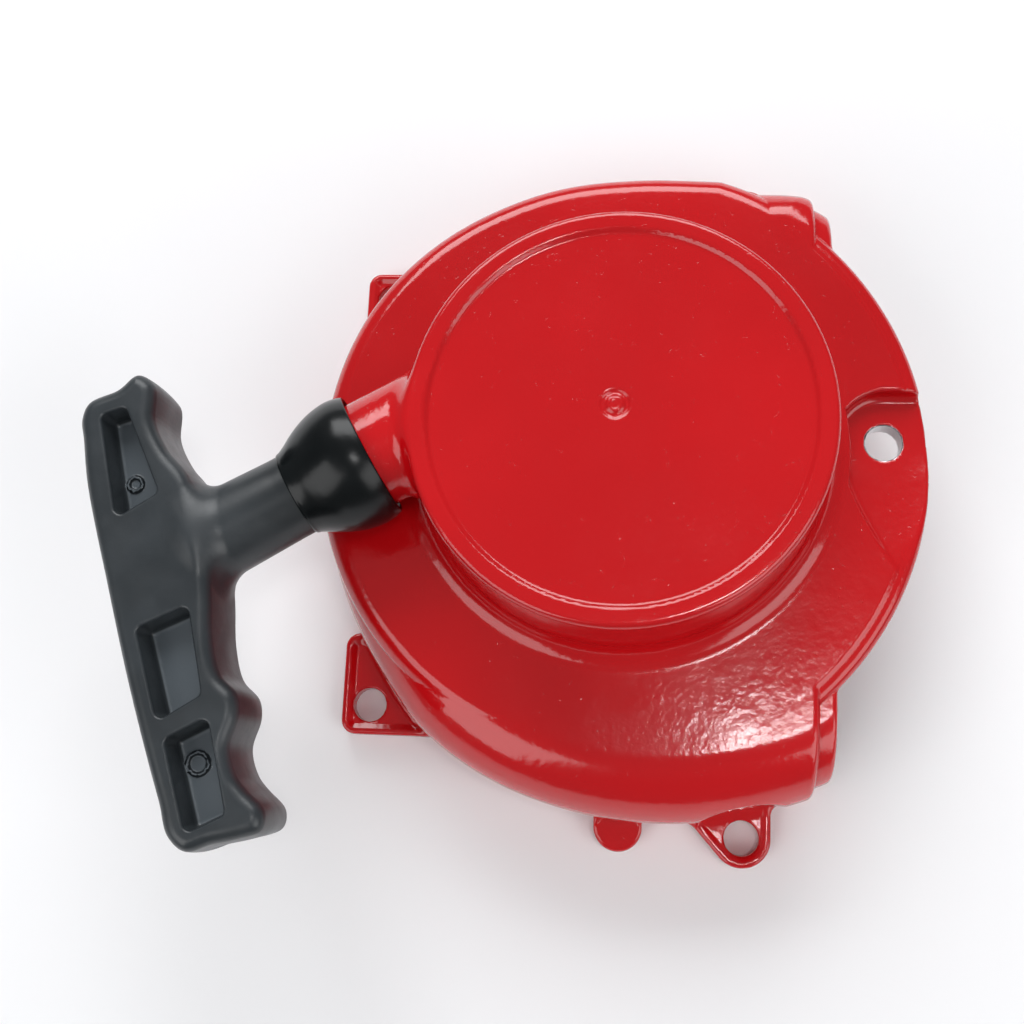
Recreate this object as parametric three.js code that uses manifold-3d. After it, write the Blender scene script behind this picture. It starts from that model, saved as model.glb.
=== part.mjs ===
// Recoil starter for a small engine.
//
// A die-cast cover lies with its open side down. A rope reel, a spiral spring and a pair of pawls
// turn on a post under the cover's drum, and a T handle pulls the rope out through a side neck.
//
// Millimetres, +Z up. The origin is on the drum's axis, in the plane of the mounting ears.

import * as THREE from 'three';
import { mergeVertices } from 'three/addons/utils/BufferGeometryUtils.js';
import Module from 'manifold-3d';

const wasm = await Module();
wasm.setup();

// ---- driving dimensions -------------------------------------------------------------------

const GAP = 0.3;                   // clearance between neighbouring pieces
const WALL = 3;                    // thickness of the casting
const SEAM = 0.05;                 // keeps faces of joined bodies from lying in one another

const SHOULDER_Z = 33.5;           // top of the flat shoulder
const DRUM_TOP_Z = 58;
const DRUM_RADIUS = 37.8;          // at the rim
const DRUM_BASE_RADIUS = 38.8;
const DRUM_FOOT_RADIUS = 43.2;     // where the fillet runs into the shoulder
const RECESS_RADIUS = 34;
const RECESS_DEPTH = 0.8;

// radius of the scroll-shaped skirt at each bearing, in degrees from +X
const SCROLL = [
  [-60, 74.2], [-52, 76], [-30, 70], [0, 66], [30, 64], [50, 67.5], [56, 66.2], [66, 61.4],
  [78, 58.4], [91, 57.2], [117, 57.4], [150, 59.2], [180, 59.4], [194, 60.6], [210, 61.8],
  [222, 63.2], [235, 66.2], [250, 67.8], [262, 68.8], [275, 70.4], [290, 72.4],
];
const SCROLL_ROUNDING = 13;        // rounding of the skirt's top edge on the wide side
const SHOULDER_LIMIT = 60;         // the shoulder's own edge, inside the wide side of the scroll
const SHOULDER_ROUNDING = 4.5;

const CUT_X = 37;                  // the skirt stops here and leaves that side open
const TONGUE_X = 40.5;             // a thinner tongue runs on past it
const TONGUE_INSET = 1.6;
const BRIM_CENTRE = [-4, -1.5];
const BRIM_RADIUS = 62;
const BRIM_BOTTOM_Z = 25;
const BRIM_ROUNDING = 2.4;
const BRIM_HOLE = [49.9, 2.8];
const BRIM_BOSS_RADIUS = 7.5;
const BRIM_BOSS_Z = 22.5;
const PAD_Z = 29.8;                // sunk pad round the brim's bolt hole
const PAD_RADIUS = 9.3;
const PAD_BACKING = 2.2;           // how far the thicker patch under the pad reaches past it

const BOLT_RADIUS = 3.5;
const EAR_THICKNESS = 4.5;
const SQUARE_EARS = [[-52.2, -48.8], [-52.6, 41.6]];
const SQUARE_EAR_REACH = 6.2;
const ROUND_EARS = [[25.3, -72.7], [25.5, 62]];
const ROUND_EAR_RADIUS = 5.9;
const SCOOP_RADIUS = 8.8;
const SCOOP_TOP_Z = 27;
const TAB = [0.5, -71.6];
const TAB_HALF_WIDTH = 4.9;

const ROPE_RADIUS = 1.9;
const ROPE_Z = 46.5;
const HANDLE_BEARING = 210;        // direction of the pull, in degrees from +X
const HANDLE_OFFSET = 18.2;        // from the drum's axis to the rope outlet's axis
const NECK_RADIUS = 10.2;
const NECK_END = 51;
const NECK_BORE = 5;

const SPRING_POST_RADIUS = 9.6;    // upper part of the centre post, inside the spring
const SPRING_POST_Z = 44;
const POST_RADIUS = 6;
const POST_BOTTOM_Z = 30.3;
const SCREW_RADIUS = 2.4;
const REEL_RADIUS = 33;
const REEL_Z = [41, 52];
const GROOVE_HALF_WIDTH = 4;
const CORE_RADIUS = 25;
const CAVITY_RADIUS = 22.6;
const CAVITY_Z = 43.4;
const HUB_RADIUS = 11.4;
const HUB_BOTTOM_Z = 34.9;
const BUSH_OUTER = 8;
const WINDING_RADIUS = 30.4;       // of the outer layer's middle
const KNOT_ANGLE = 300;

const SPRING_STRIP = 0.8;
const SPRING_Z = [44.3, 50.8];
const SPRING_RADII = [11.2, 20.8];
const SPRING_TURNS = 5;

const PAWL_RING = 18;
const PAWL_Z = [35.5, 39.5];
const PAWL_LENGTH = 14;
const PAWL_REST_ANGLE = 105;
const PAWL_SWING = -45;
const PLATE_TURN = -30;
const PEG_REACH = 7;
const PEG_RADIUS = 1.5;
const PLATE_Z = [31.6, 33.4];
const PLATE_RADIUS = 26;

// T handle, in its own frame: x runs out along the rope, y across, from the rope's axis
const GRIP_HALF_THICKNESS = 8.8;
const GRIP_ROUNDING = 2;
const POCKET_DEPTH = 6;
const STEM_RADIUS = 7.8;
const STEM_START = 56.3;
const STEM_END = 78;
const CUP_START = 42.2;            // plane of the cup's mouth
const CUP_END = 56;
const CUP_RIM_RADIUS = 12.5;
const CUP_MOUTH_RADIUS = 11.3;
const KNOT_RECESS_RADIUS = 5.5;
const KNOT_RECESS_START = 84;
const GRIP_OUTLINE = [
  [73.4, -9.5], [74.8, -17], [74.6, -23], [71.9, -29], [73.6, -32.4], [78, -31.6], [83.8, -32],
  [86.3, -29.8], [87.6, -26], [90.3, -18], [94.6, 1.6], [98, 18.1], [100.5, 32.7], [101.6, 40],
  [102.6, 45.6], [101, 49.2], [96.5, 50.2], [91.5, 51.6], [87.8, 52.1], [86.1, 49.6], [87.4, 45],
  [88, 42], [87, 37], [83.1, 32.7], [82, 29.5], [83.2, 25], [81.8, 18.5], [77.6, 8.5],
];
const POCKETS = [
  [[77.8, -27.5], [82.6, -28.4], [87.9, -9.3], [79, -9.8]],
  [[82.7, 11.5], [92.7, 10.7], [96, 27.3], [87.1, 26.8]],
  [[87.7, 30.9], [96.1, 30.7], [99.4, 46.8], [91.9, 47.2]],
];

// ---- helpers ------------------------------------------------------------------------------

const DEG = Math.PI / 180;

/** Manifold solid of a closed three.js geometry. */
function solid(geometry) {
  const bare = geometry.index ? geometry.toNonIndexed() : geometry.clone();
  bare.deleteAttribute('normal');
  bare.deleteAttribute('uv');
  const welded = mergeVertices(bare, 1e-6);
  const corners = welded.index.array;
  const triangles = [];
  for (let i = 0; i < corners.length; i += 3) {
    const [a, b, c] = corners.slice(i, i + 3);
    if (a !== b && b !== c && c !== a) {
      triangles.push(a, b, c);
    }
  }
  const mesh = new wasm.Mesh({
    numProp: 3,
    vertProperties: new Float32Array(welded.attributes.position.array),
    triVerts: new Uint32Array(triangles),
  });
  return new wasm.Manifold(mesh);
}

/** three.js geometry of a Manifold solid. */
function geometryOf(body) {
  const mesh = body.getMesh();
  const geometry = new THREE.BufferGeometry();
  const positions = new Float32Array(mesh.vertProperties);
  const corners = new Uint32Array(mesh.triVerts);
  geometry.setAttribute('position', new THREE.BufferAttribute(positions, 3));
  geometry.setIndex(new THREE.BufferAttribute(corners, 1));
  geometry.computeVertexNormals();
  return geometry;
}

function join(...parts) {
  return parts.reduce((whole, part) => whole.add(part));
}

/** Box between two corners. */
function block(low, high) {
  const geometry = new THREE.BoxGeometry(high[0] - low[0], high[1] - low[1], high[2] - low[2]);
  geometry.translate((low[0] + high[0]) / 2, (low[1] + high[1]) / 2, (low[2] + high[2]) / 2);
  return solid(geometry);
}

/** Upright cylinder from z0 to z1 at (x, y). */
function rod(x, y, z0, z1, radius, segments = 24) {
  const geometry = new THREE.CylinderGeometry(radius, radius, z1 - z0, segments);
  geometry.rotateX(Math.PI / 2);
  geometry.translate(x, y, (z0 + z1) / 2);
  return solid(geometry);
}

/** Body turned about Z: the profile is a closed list of [radius, z]. */
function turned(profile, segments = 48) {
  const points = profile.map(([radius, z]) => new THREE.Vector2(radius, z));
  if (points[0].x > 0 || points.at(-1).x > 0) {
    points.push(points[0].clone());
  }
  const area = points.reduce((sum, p, i) => {
    const q = points[(i + 1) % points.length];
    return sum + p.x * q.y - q.x * p.y;
  }, 0);
  if (area < 0) {
    points.reverse();
  }
  const geometry = new THREE.LatheGeometry(points, segments);
  geometry.rotateX(Math.PI / 2);
  return solid(geometry);
}

/** Upright prism of a Shape between z0 and z1, with a rounding on its top edge. */
function prism(shape, z0, z1, rounding = 0, curveSegments = 12) {
  const options = { depth: z1 - z0, bevelEnabled: false, curveSegments };
  if (rounding > 0) {
    options.bevelEnabled = true;
    options.bevelThickness = rounding;
    options.bevelSize = rounding;
    options.bevelOffset = -rounding;
    options.bevelSegments = 3;
    options.depth = z1 - z0 + 20;
  }
  const geometry = new THREE.ExtrudeGeometry(shape, options);
  geometry.translate(0, 0, rounding > 0 ? z1 - rounding - options.depth : z0);
  const body = solid(geometry);
  return rounding > 0 ? body.subtract(block([-200, -200, z0 - 80], [200, 200, z0])) : body;
}

function polygon(points) {
  return new THREE.Shape(points.map(([x, y]) => new THREE.Vector2(x, y)));
}

function circle(x, y, radius) {
  const shape = new THREE.Shape();
  shape.absarc(x, y, radius, 0, 2 * Math.PI, false);
  return shape;
}

/** Outline with straight sides and corners rounded by a radius. */
function roundedPolygon(points, radius) {
  const shape = new THREE.Shape();
  points.forEach((corner, i) => {
    const here = new THREE.Vector2(...corner);
    const before = new THREE.Vector2(...points.at(i - 1));
    const after = new THREE.Vector2(...points[(i + 1) % points.length]);
    const start = here.clone().add(before.sub(here).setLength(radius));
    const end = here.clone().add(after.sub(here).setLength(radius));
    if (i === 0) {
      shape.moveTo(start.x, start.y);
    } else {
      shape.lineTo(start.x, start.y);
    }
    shape.quadraticCurveTo(here.x, here.y, end.x, end.y);
  });
  shape.closePath();
  return shape;
}

/** The scroll's outline, moved inwards by an inset and never wider than a limit. */
function scrollOutline(inset, limit = Infinity) {
  const closed = [...SCROLL, [SCROLL[0][0] + 360, SCROLL[0][1]]];
  const points = [];
  for (let angle = SCROLL[0][0]; angle < SCROLL[0][0] + 360; angle += 6) {
    const i = closed.findIndex(([end]) => end > angle);
    const [a0, r0] = closed[i - 1];
    const [a1, r1] = closed[i];
    const t = (angle - a0) / (a1 - a0);
    const radius = Math.min(r0 + (r1 - r0) * t, limit) - inset;
    points.push([radius * Math.cos(angle * DEG), radius * Math.sin(angle * DEG)]);
  }
  return polygon(points);
}

/** Body in the handle's frame, turned and set at the rope outlet. */
function alongRope(body) {
  const place = new THREE.Matrix4().makeRotationZ(HANDLE_BEARING * DEG);
  place.multiply(new THREE.Matrix4().makeTranslation(0, -HANDLE_OFFSET, ROPE_Z));
  const geometry = geometryOf(body);
  geometry.applyMatrix4(place);
  return solid(geometry);
}

/** Turned body whose axis is the rope's: the profile is [radius, x]. */
function turnedAlongRope(profile, segments = 32) {
  const geometry = geometryOf(turned(profile, segments));
  geometry.rotateY(Math.PI / 2);
  return solid(geometry);
}

function onCircle(radius, degrees) {
  return [radius * Math.cos(degrees * DEG), radius * Math.sin(degrees * DEG)];
}

// ---- housing ------------------------------------------------------------------------------

/** Everything inside the casting's outer surface when grow is 0, or its hollow when grow is negative. */
function castingVolume(grow) {
  const top = SHOULDER_Z + grow;
  const drumTop = DRUM_TOP_Z + (grow < 0 ? grow - RECESS_DEPTH : 0);
  const wide = prism(scrollOutline(-grow), 0, top, SCROLL_ROUNDING + grow);
  const flat = prism(scrollOutline(SEAM - grow, SHOULDER_LIMIT), top - 16, top, SHOULDER_ROUNDING + grow);
  const round = 3 + grow / 2;
  const drum = turned([
    [0, 12], [DRUM_BASE_RADIUS + grow, 12], [DRUM_BASE_RADIUS + grow, SHOULDER_Z - 2],
    [DRUM_RADIUS + grow, drumTop - round], [DRUM_RADIUS + grow - round * 0.3, drumTop - round * 0.3],
    [DRUM_RADIUS + grow - round, drumTop], [0, drumTop],
  ], 60);
  return join(wide, flat, drum);
}

function drumFillet() {
  const profile = [[30, SHOULDER_Z - 2], [DRUM_FOOT_RADIUS, SHOULDER_Z - 2], [DRUM_FOOT_RADIUS, SHOULDER_Z]];
  const rise = DRUM_FOOT_RADIUS - DRUM_BASE_RADIUS + 0.4;
  for (let i = 1; i <= 4; i += 1) {
    const angle = i * 22.5 * DEG;
    profile.push([DRUM_FOOT_RADIUS - rise * Math.sin(angle), SHOULDER_Z + rise * (1 - Math.cos(angle))]);
  }
  profile.push([30, SHOULDER_Z + rise]);
  return turned(profile, 60);
}

/** Plate on the open side, with a rim that turns down and a boss under its bolt hole. */
function brim() {
  const [x, y] = BRIM_CENTRE;
  const outer = prism(circle(x, y, BRIM_RADIUS), BRIM_BOTTOM_Z, SHOULDER_Z, BRIM_ROUNDING, 30);
  const side = block([CUT_X - 4, -80, 0], [90, 80, 60]);
  return outer.intersect(side).add(rod(...BRIM_HOLE, BRIM_BOSS_Z, PAD_Z, BRIM_BOSS_RADIUS));
}

/** Space under the brim, round the boss and the thicker patch that backs the sunk pad. */
function underBrim() {
  const [x, y] = BRIM_CENTRE;
  const space = prism(circle(x, y, BRIM_RADIUS - WALL), 0, SHOULDER_Z - WALL, 0, 30);
  const [hx, hy] = BRIM_HOLE;
  const backing = join(
    rod(hx, hy, PAD_Z - WALL, 40, PAD_RADIUS + PAD_BACKING, 32),
    block([hx, hy - 4 - PAD_BACKING, PAD_Z - WALL], [80, hy + PAD_RADIUS + PAD_BACKING, 40]),
    rod(hx, hy, 0, 40, BRIM_BOSS_RADIUS),
  );
  return space.intersect(block([CUT_X, -45, 0], [90, 42, SHOULDER_Z])).subtract(backing);
}

function ears() {
  const parts = [];
  for (const [x, y] of SQUARE_EARS) {
    const out = Math.sign(y);
    const tip = y + out * SQUARE_EAR_REACH;
    const corners = [[x - 5.8, tip], [x - 5.8, y - out * 16], [x + 22, y - out * 8], [x + 13, tip]];
    parts.push(prism(roundedPolygon(corners, 2.5), 0, EAR_THICKNESS));
  }
  for (const [x, y] of ROUND_EARS) {
    const inward = -Math.sign(y);
    const foot = y + inward * 9;
    const side = x + ROUND_EAR_RADIUS;
    const root = polygon([[x - 4.2, y - inward * 4.1], [x - 16, foot], [side, foot], [side, y]]);
    parts.push(rod(x, y, 0, EAR_THICKNESS, ROUND_EAR_RADIUS));
    parts.push(prism(root, 0, EAR_THICKNESS));
  }
  const [x, y] = TAB;
  parts.push(rod(x, y, 0, EAR_THICKNESS, TAB_HALF_WIDTH));
  parts.push(block([x - TAB_HALF_WIDTH, y, 0], [x + TAB_HALF_WIDTH, y + 5, EAR_THICKNESS]));
  return join(...parts);
}

/** Finger-shaped hollow above an ear, with a round top, that clears the bolt head. */
function scoop(x, y, radius, z0) {
  const ball = new THREE.SphereGeometry(radius, 24, 12);
  ball.scale(1, 1, 0.6);
  ball.translate(x, y, SCOOP_TOP_Z - radius * 0.6);
  return rod(x, y, z0, SCOOP_TOP_Z - radius * 0.6, radius, 24).add(solid(ball));
}

function buildHousing() {
  const outer = castingVolume(0);
  const openSide = block([CUT_X, -100, -10], [120, 100, 70]);
  const pastTongue = block([TONGUE_X, -100, -10], [120, 100, 70]);
  const drumZone = rod(0, 0, SHOULDER_Z - WALL, 70, DRUM_FOOT_RADIUS, 60);

  const neckBar = turnedAlongRope([
    [0, 20], [NECK_RADIUS + 0.6, 20], [NECK_RADIUS + 0.6, 40], [NECK_RADIUS, NECK_END], [0, NECK_END],
  ]);
  const tongue = prism(scrollOutline(TONGUE_INSET), 0, SHOULDER_Z - TONGUE_INSET, SCROLL_ROUNDING - 1);
  let body = join(
    outer.subtract(openSide.subtract(drumZone)),
    tongue.subtract(pastTongue),
    drumFillet(),
    brim(),
    ears(),
    alongRope(neckBar),
  );
  const scoops = ROUND_EARS.map(([x, y]) => scoop(x, y, SCOOP_RADIUS, EAR_THICKNESS));
  body = body.subtract(join(rod(TAB[0], TAB[1] - 0.9, EAR_THICKNESS, 12, TAB_HALF_WIDTH), ...scoops));

  const beyond = block([TONGUE_X + 1, -100, -10], [120, 100, SHOULDER_Z - WALL]);
  const hollow = castingVolume(-WALL).subtract(beyond);
  const bulges = ROUND_EARS.map(([x, y]) => scoop(x, y, SCOOP_RADIUS + WALL - 0.5, -1));
  body = body.subtract(hollow.subtract(join(...bulges)));
  body = body.subtract(underBrim());

  const post = rod(0, 0, POST_BOTTOM_Z, DRUM_TOP_Z - 2, POST_RADIUS, 32);
  const springPost = rod(0, 0, SPRING_POST_Z, DRUM_TOP_Z - 2, SPRING_POST_RADIUS, 32);
  const catchSlot = block([SPRING_POST_RADIUS - 2.2, -1.3, SPRING_POST_Z - 1], [20, 1.3, SPRING_Z[1] + 0.6]);
  body = join(body, post, springPost.subtract(catchSlot));

  const pad = join(
    rod(...BRIM_HOLE, PAD_Z, 70, PAD_RADIUS, 32),
    block([BRIM_HOLE[0], BRIM_HOLE[1] - 4, PAD_Z], [80, BRIM_HOLE[1] + PAD_RADIUS, 70]),
  );
  const cuts = join(
    ...[...SQUARE_EARS, ...ROUND_EARS].map(([x, y]) => rod(x, y, -1, 12, BOLT_RADIUS)),
    rod(...BRIM_HOLE, 0, 70, BOLT_RADIUS),
    pad.subtract(rod(0, 0, 0, 70, DRUM_FOOT_RADIUS - 1, 48)),
    rod(0, 0, DRUM_TOP_Z - RECESS_DEPTH, 70, RECESS_RADIUS, 60),
    rod(0, 0, POST_BOTTOM_Z - 1, 50.5, SCREW_RADIUS + GAP, 16),
    alongRope(turnedAlongRope([
      [0, 18], [NECK_BORE + 3, 18], [NECK_BORE + 3, 33], [NECK_BORE, 43],
      [NECK_BORE, NECK_END + 1], [0, NECK_END + 1],
    ], 24)),
  );
  return body.subtract(cuts);
}

// ---- reel and what turns with it ----------------------------------------------------------

function buildReel() {
  const grooveLow = ROPE_Z - GROOVE_HALF_WIDTH;
  const grooveHigh = ROPE_Z + GROOVE_HALF_WIDTH;
  const reel = turned([
    [BUSH_OUTER + GAP, HUB_BOTTOM_Z], [HUB_RADIUS, HUB_BOTTOM_Z], [HUB_RADIUS, REEL_Z[0]],
    [REEL_RADIUS, REEL_Z[0]], [REEL_RADIUS, grooveLow - 0.5], [CORE_RADIUS, grooveLow],
    [CORE_RADIUS, grooveHigh], [REEL_RADIUS, grooveHigh + 0.5], [REEL_RADIUS, REEL_Z[1]],
    [CAVITY_RADIUS, REEL_Z[1]], [CAVITY_RADIUS, CAVITY_Z], [BUSH_OUTER + GAP, CAVITY_Z],
  ], 48);
  const pinHoles = [0, 180].map((angle) => rod(...onCircle(PAWL_RING, angle), 40, 45, 2 + GAP, 16));
  const windows = [60, 120, 240, 300].map((angle) => rod(...onCircle(PAWL_RING, angle), 40, 45, 3, 16));
  const [kx, ky] = onCircle(WINDING_RADIUS + 0.2, KNOT_ANGLE);
  const knotHole = rod(kx, ky, 40, grooveLow + 0.5, 1.9, 16);
  return reel.subtract(join(...pinHoles, ...windows, knotHole));
}

/** Outer shape of the rope's turns, two side by side and two deep. */
function buildWinding() {
  const inner = CORE_RADIUS + GAP;
  const outer = WINDING_RADIUS + ROPE_RADIUS;
  const half = 2 * ROPE_RADIUS;
  const profile = [[inner, ROPE_Z - half + 0.6], [outer - 1.2, ROPE_Z - half + 0.2]];
  for (const middle of [-ROPE_RADIUS, ROPE_RADIUS]) {
    profile.push([outer - 0.5, ROPE_Z + middle - 1.2]);
    profile.push([outer - 0.05, ROPE_Z + middle]);
    profile.push([outer - 0.5, ROPE_Z + middle + 1.2]);
  }
  profile.push([outer - 1.2, ROPE_Z + half - 0.2], [inner, ROPE_Z + half - 0.6]);
  return turned(profile, 36);
}

/** Flat strip wound in a spiral, with its inner end bent into the post's slot. */
function buildRecoilSpring() {
  const [inner, outer] = SPRING_RADII;
  const steps = SPRING_TURNS * 30;
  const sides = [[], []];
  for (let i = 0; i <= steps; i += 1) {
    const angle = (i / steps) * SPRING_TURNS * 360;
    const radius = inner + (outer - inner) * (i / steps);
    sides[0].push(onCircle(radius, angle));
    sides[1].push(onCircle(radius + SPRING_STRIP, angle));
  }
  const tip = SPRING_POST_RADIUS - 1.6;
  const hook = [[inner + SPRING_STRIP, -SPRING_STRIP], [tip, -SPRING_STRIP], [tip, 0]];
  const outline = polygon([...sides[1].reverse(), ...hook, ...sides[0]]);
  return prism(outline, ...SPRING_Z);
}

function buildPawl() {
  const outline = new THREE.Shape();
  const tip = PAWL_LENGTH;
  outline.absarc(0, 0, 4.4, 150 * DEG, -60 * DEG, false);
  outline.lineTo(tip - 3.5, -4.2);
  outline.lineTo(tip + 0.4, -2.2);
  outline.lineTo(tip, 2.6);
  outline.lineTo(4, 3.8);
  outline.closePath();
  const body = prism(outline, ...PAWL_Z).subtract(rod(0, 0, PAWL_Z[0] - 1, PAWL_Z[1] + 1, 2 + GAP, 16));
  return body.add(rod(PEG_REACH, 0, PLATE_Z[0] - 0.6, PAWL_Z[0] + 1, PEG_RADIUS, 12));
}

/** Where the pawl's peg is, in the plate's frame, when the pawl has swung by a share of its travel. */
function pegInPlate(share) {
  const swing = (PAWL_REST_ANGLE + PAWL_SWING * share) * DEG;
  const x = PAWL_RING + PEG_REACH * Math.cos(swing);
  const y = PEG_REACH * Math.sin(swing);
  const back = -PLATE_TURN * share * DEG;
  return [x * Math.cos(back) - y * Math.sin(back), x * Math.sin(back) + y * Math.cos(back)];
}

function buildCamPlate() {
  let plate = turned([
    [POST_RADIUS + GAP, PLATE_Z[0]], [PLATE_RADIUS, PLATE_Z[0]], [PLATE_RADIUS, PLATE_Z[1]],
    [POST_RADIUS + GAP, PLATE_Z[1]],
  ], 48);
  for (const side of [0, 180]) {
    for (let i = 0; i <= 6; i += 1) {
      const [x, y] = pegInPlate(i / 6);
      const [tx, ty] = side === 0 ? [x, y] : [-x, -y];
      plate = plate.subtract(rod(tx, ty, 30, 35, PEG_RADIUS + 0.7, 16));
    }
    plate = plate.subtract(rod(...onCircle(17, side + 100), 30, 35, 4, 16));
  }
  return plate;
}

// ---- handle -------------------------------------------------------------------------------

function buildHandle() {
  const corners = GRIP_OUTLINE.map(([x, y]) => new THREE.Vector3(x, y, 0));
  const curve = new THREE.CatmullRomCurve3(corners, true, 'centripetal');
  const outline = polygon(curve.getPoints(GRIP_OUTLINE.length * 2).slice(0, -1).map(({ x, y }) => [x, y]));
  const depth = 2 * (GRIP_HALF_THICKNESS - GRIP_ROUNDING);
  const slab = new THREE.ExtrudeGeometry(outline, {
    depth,
    bevelEnabled: true,
    bevelThickness: GRIP_ROUNDING,
    bevelSize: GRIP_ROUNDING,
    bevelOffset: -GRIP_ROUNDING,
    bevelSegments: 3,
  });
  slab.translate(0, 0, -depth / 2);
  const stem = turnedAlongRope([
    [0, 53], [5.2, 53], [5.2, STEM_START], [STEM_RADIUS - 0.8, STEM_START], [STEM_RADIUS, STEM_START + 1],
    [STEM_RADIUS, 70], [STEM_RADIUS + 0.5, STEM_END], [0, STEM_END],
  ]);
  let handle = solid(slab).add(stem);
  for (const corners of POCKETS) {
    for (const side of [-1, 1]) {
      const floor = side * (GRIP_HALF_THICKNESS - POCKET_DEPTH);
      const ends = [floor, side * 12].sort((a, b) => a - b);
      const cut = prism(roundedPolygon(corners, 1.4), ...ends, 0, 4);
      handle = handle.subtract(cut);
    }
  }
  const bore = turnedAlongRope([[0, 50], [2.4, 50], [2.4, 90], [0, 90]], 16);
  const recess = turnedAlongRope([
    [0, KNOT_RECESS_START], [KNOT_RECESS_RADIUS, KNOT_RECESS_START], [KNOT_RECESS_RADIUS, 120], [0, 120],
  ], 24);
  return handle.subtract(join(bore, recess));
}

function buildCup() {
  const crown = NECK_END + GAP + 0.1;
  return turnedAlongRope([
    [5.5, CUP_END], [8, CUP_END], [8.9, CUP_END - 0.6], [10.2, 54], [11.2, 52], [12, 49.6],
    [CUP_RIM_RADIUS, 47], [CUP_RIM_RADIUS, 45], [CUP_RIM_RADIUS - 0.5, 43],
    [CUP_RIM_RADIUS - 0.9, CUP_START], [CUP_MOUTH_RADIUS, CUP_START], [CUP_MOUTH_RADIUS - 0.1, 48],
    [CUP_MOUTH_RADIUS - 0.7, crown], [5.5, crown],
  ], 32);
}

/** Rope from the knot in the grip to where it meets the reel's winding. */
function buildPullRope() {
  const bend = 45;
  const reach = WINDING_RADIUS;
  const far = Math.hypot(bend, HANDLE_OFFSET);
  const lean = Math.asin(reach / far) - Math.atan2(HANDLE_OFFSET, bend);
  const clear = Math.sqrt((reach + 2 * ROPE_RADIUS + GAP) ** 2 - reach ** 2);
  const run = Math.sqrt(far ** 2 - reach ** 2) - clear - GAP;
  const route = [
    [84.4, 0], [bend, 0], [bend - run * Math.cos(lean), -run * Math.sin(lean)],
  ];
  const path = new THREE.CurvePath();
  for (let i = 1; i < route.length; i += 1) {
    const [from, to] = [route[i - 1], route[i]].map(([x, y]) => new THREE.Vector3(x, y, 0));
    path.add(new THREE.LineCurve3(from, to));
  }
  const section = new THREE.Shape();
  section.absarc(0, 0, ROPE_RADIUS, 0, 2 * Math.PI, false);
  const options = { steps: 16, curveSegments: 4, bevelEnabled: false, extrudePath: path };
  return solid(new THREE.ExtrudeGeometry(section, options));
}

function knot(radius, stretch = 1) {
  const ball = new THREE.SphereGeometry(radius, 14, 8);
  ball.scale(stretch, 1, 1);
  return solid(ball);
}

// ---- assembly -----------------------------------------------------------------------------

const starter = new THREE.Group();

/** Adds a named piece made of one solid. */
function addPiece(name, body, color, roughness, metalness = 0, parent = starter) {
  const material = new THREE.MeshStandardMaterial({ color, roughness, metalness });
  const mesh = new THREE.Mesh(geometryOf(body), material);
  mesh.name = name;
  parent.add(mesh);
  return mesh;
}

const RED = 0xc4161c;
const BLACK = 0x1c1d1f;
const RUBBER = 0x0e0f10;
const STEEL = 0x9a9da1;
const BRASS = 0xb08d57;
const ROPE = 0xe8e6df;
const NYLON = 0x26282b;

addPiece('housing', buildHousing(), RED, 0.28);

const handleFrame = new THREE.Group();
handleFrame.rotation.z = HANDLE_BEARING * DEG;
const ropeAxis = new THREE.Group();
ropeAxis.position.set(0, -HANDLE_OFFSET, ROPE_Z);
handleFrame.add(ropeAxis);
starter.add(handleFrame);

addPiece('handle_grip', buildHandle(), BLACK, 0.5, 0, ropeAxis);
addPiece('handle_cup', buildCup(), RUBBER, 0.3, 0, ropeAxis);
addPiece('handle_washer', turnedAlongRope([
  [2.3, 84.3], [5, 84.3], [5, 85.3], [2.3, 85.3],
], 24), STEEL, 0.3, 1, ropeAxis);
const gripKnot = addPiece('handle_knot', knot(4, 0.85), ROPE, 0.9, 0, ropeAxis);
gripKnot.position.x = 89;
addPiece('pull_rope', buildPullRope(), ROPE, 0.9, 0, ropeAxis);
addPiece('rope_guide_bush', turnedAlongRope([
  [2.9, 44], [4.7, 44], [4.7, 50.8], [2.9, 50.8], [2.4, 49.4], [2.4, 46.4],
], 24), STEEL, 0.2, 1, ropeAxis);

addPiece('reel', buildReel(), NYLON, 0.5);
addPiece('reel_bush', turned([
  [POST_RADIUS + 0.2, HUB_BOTTOM_Z + 0.4], [BUSH_OUTER, HUB_BOTTOM_Z + 0.4],
  [BUSH_OUTER, CAVITY_Z], [POST_RADIUS + 0.2, CAVITY_Z],
], 32), BRASS, 0.4, 1);
addPiece('rope_winding', buildWinding(), ROPE, 0.9);
const reelKnot = addPiece('reel_knot', knot(2.6), ROPE, 0.9);
reelKnot.position.set(...onCircle(WINDING_RADIUS + 0.2, KNOT_ANGLE), REEL_Z[0] - 2.9);

addPiece('recoil_spring', buildRecoilSpring(), STEEL, 0.3, 1);
addPiece('spring_cover', turned([
  [SPRING_POST_RADIUS + 0.5, 51.3], [CAVITY_RADIUS - GAP, 51.3], [CAVITY_RADIUS - GAP, 52],
  [SPRING_POST_RADIUS + 0.5, 52],
], 48), STEEL, 0.35, 1);

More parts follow.
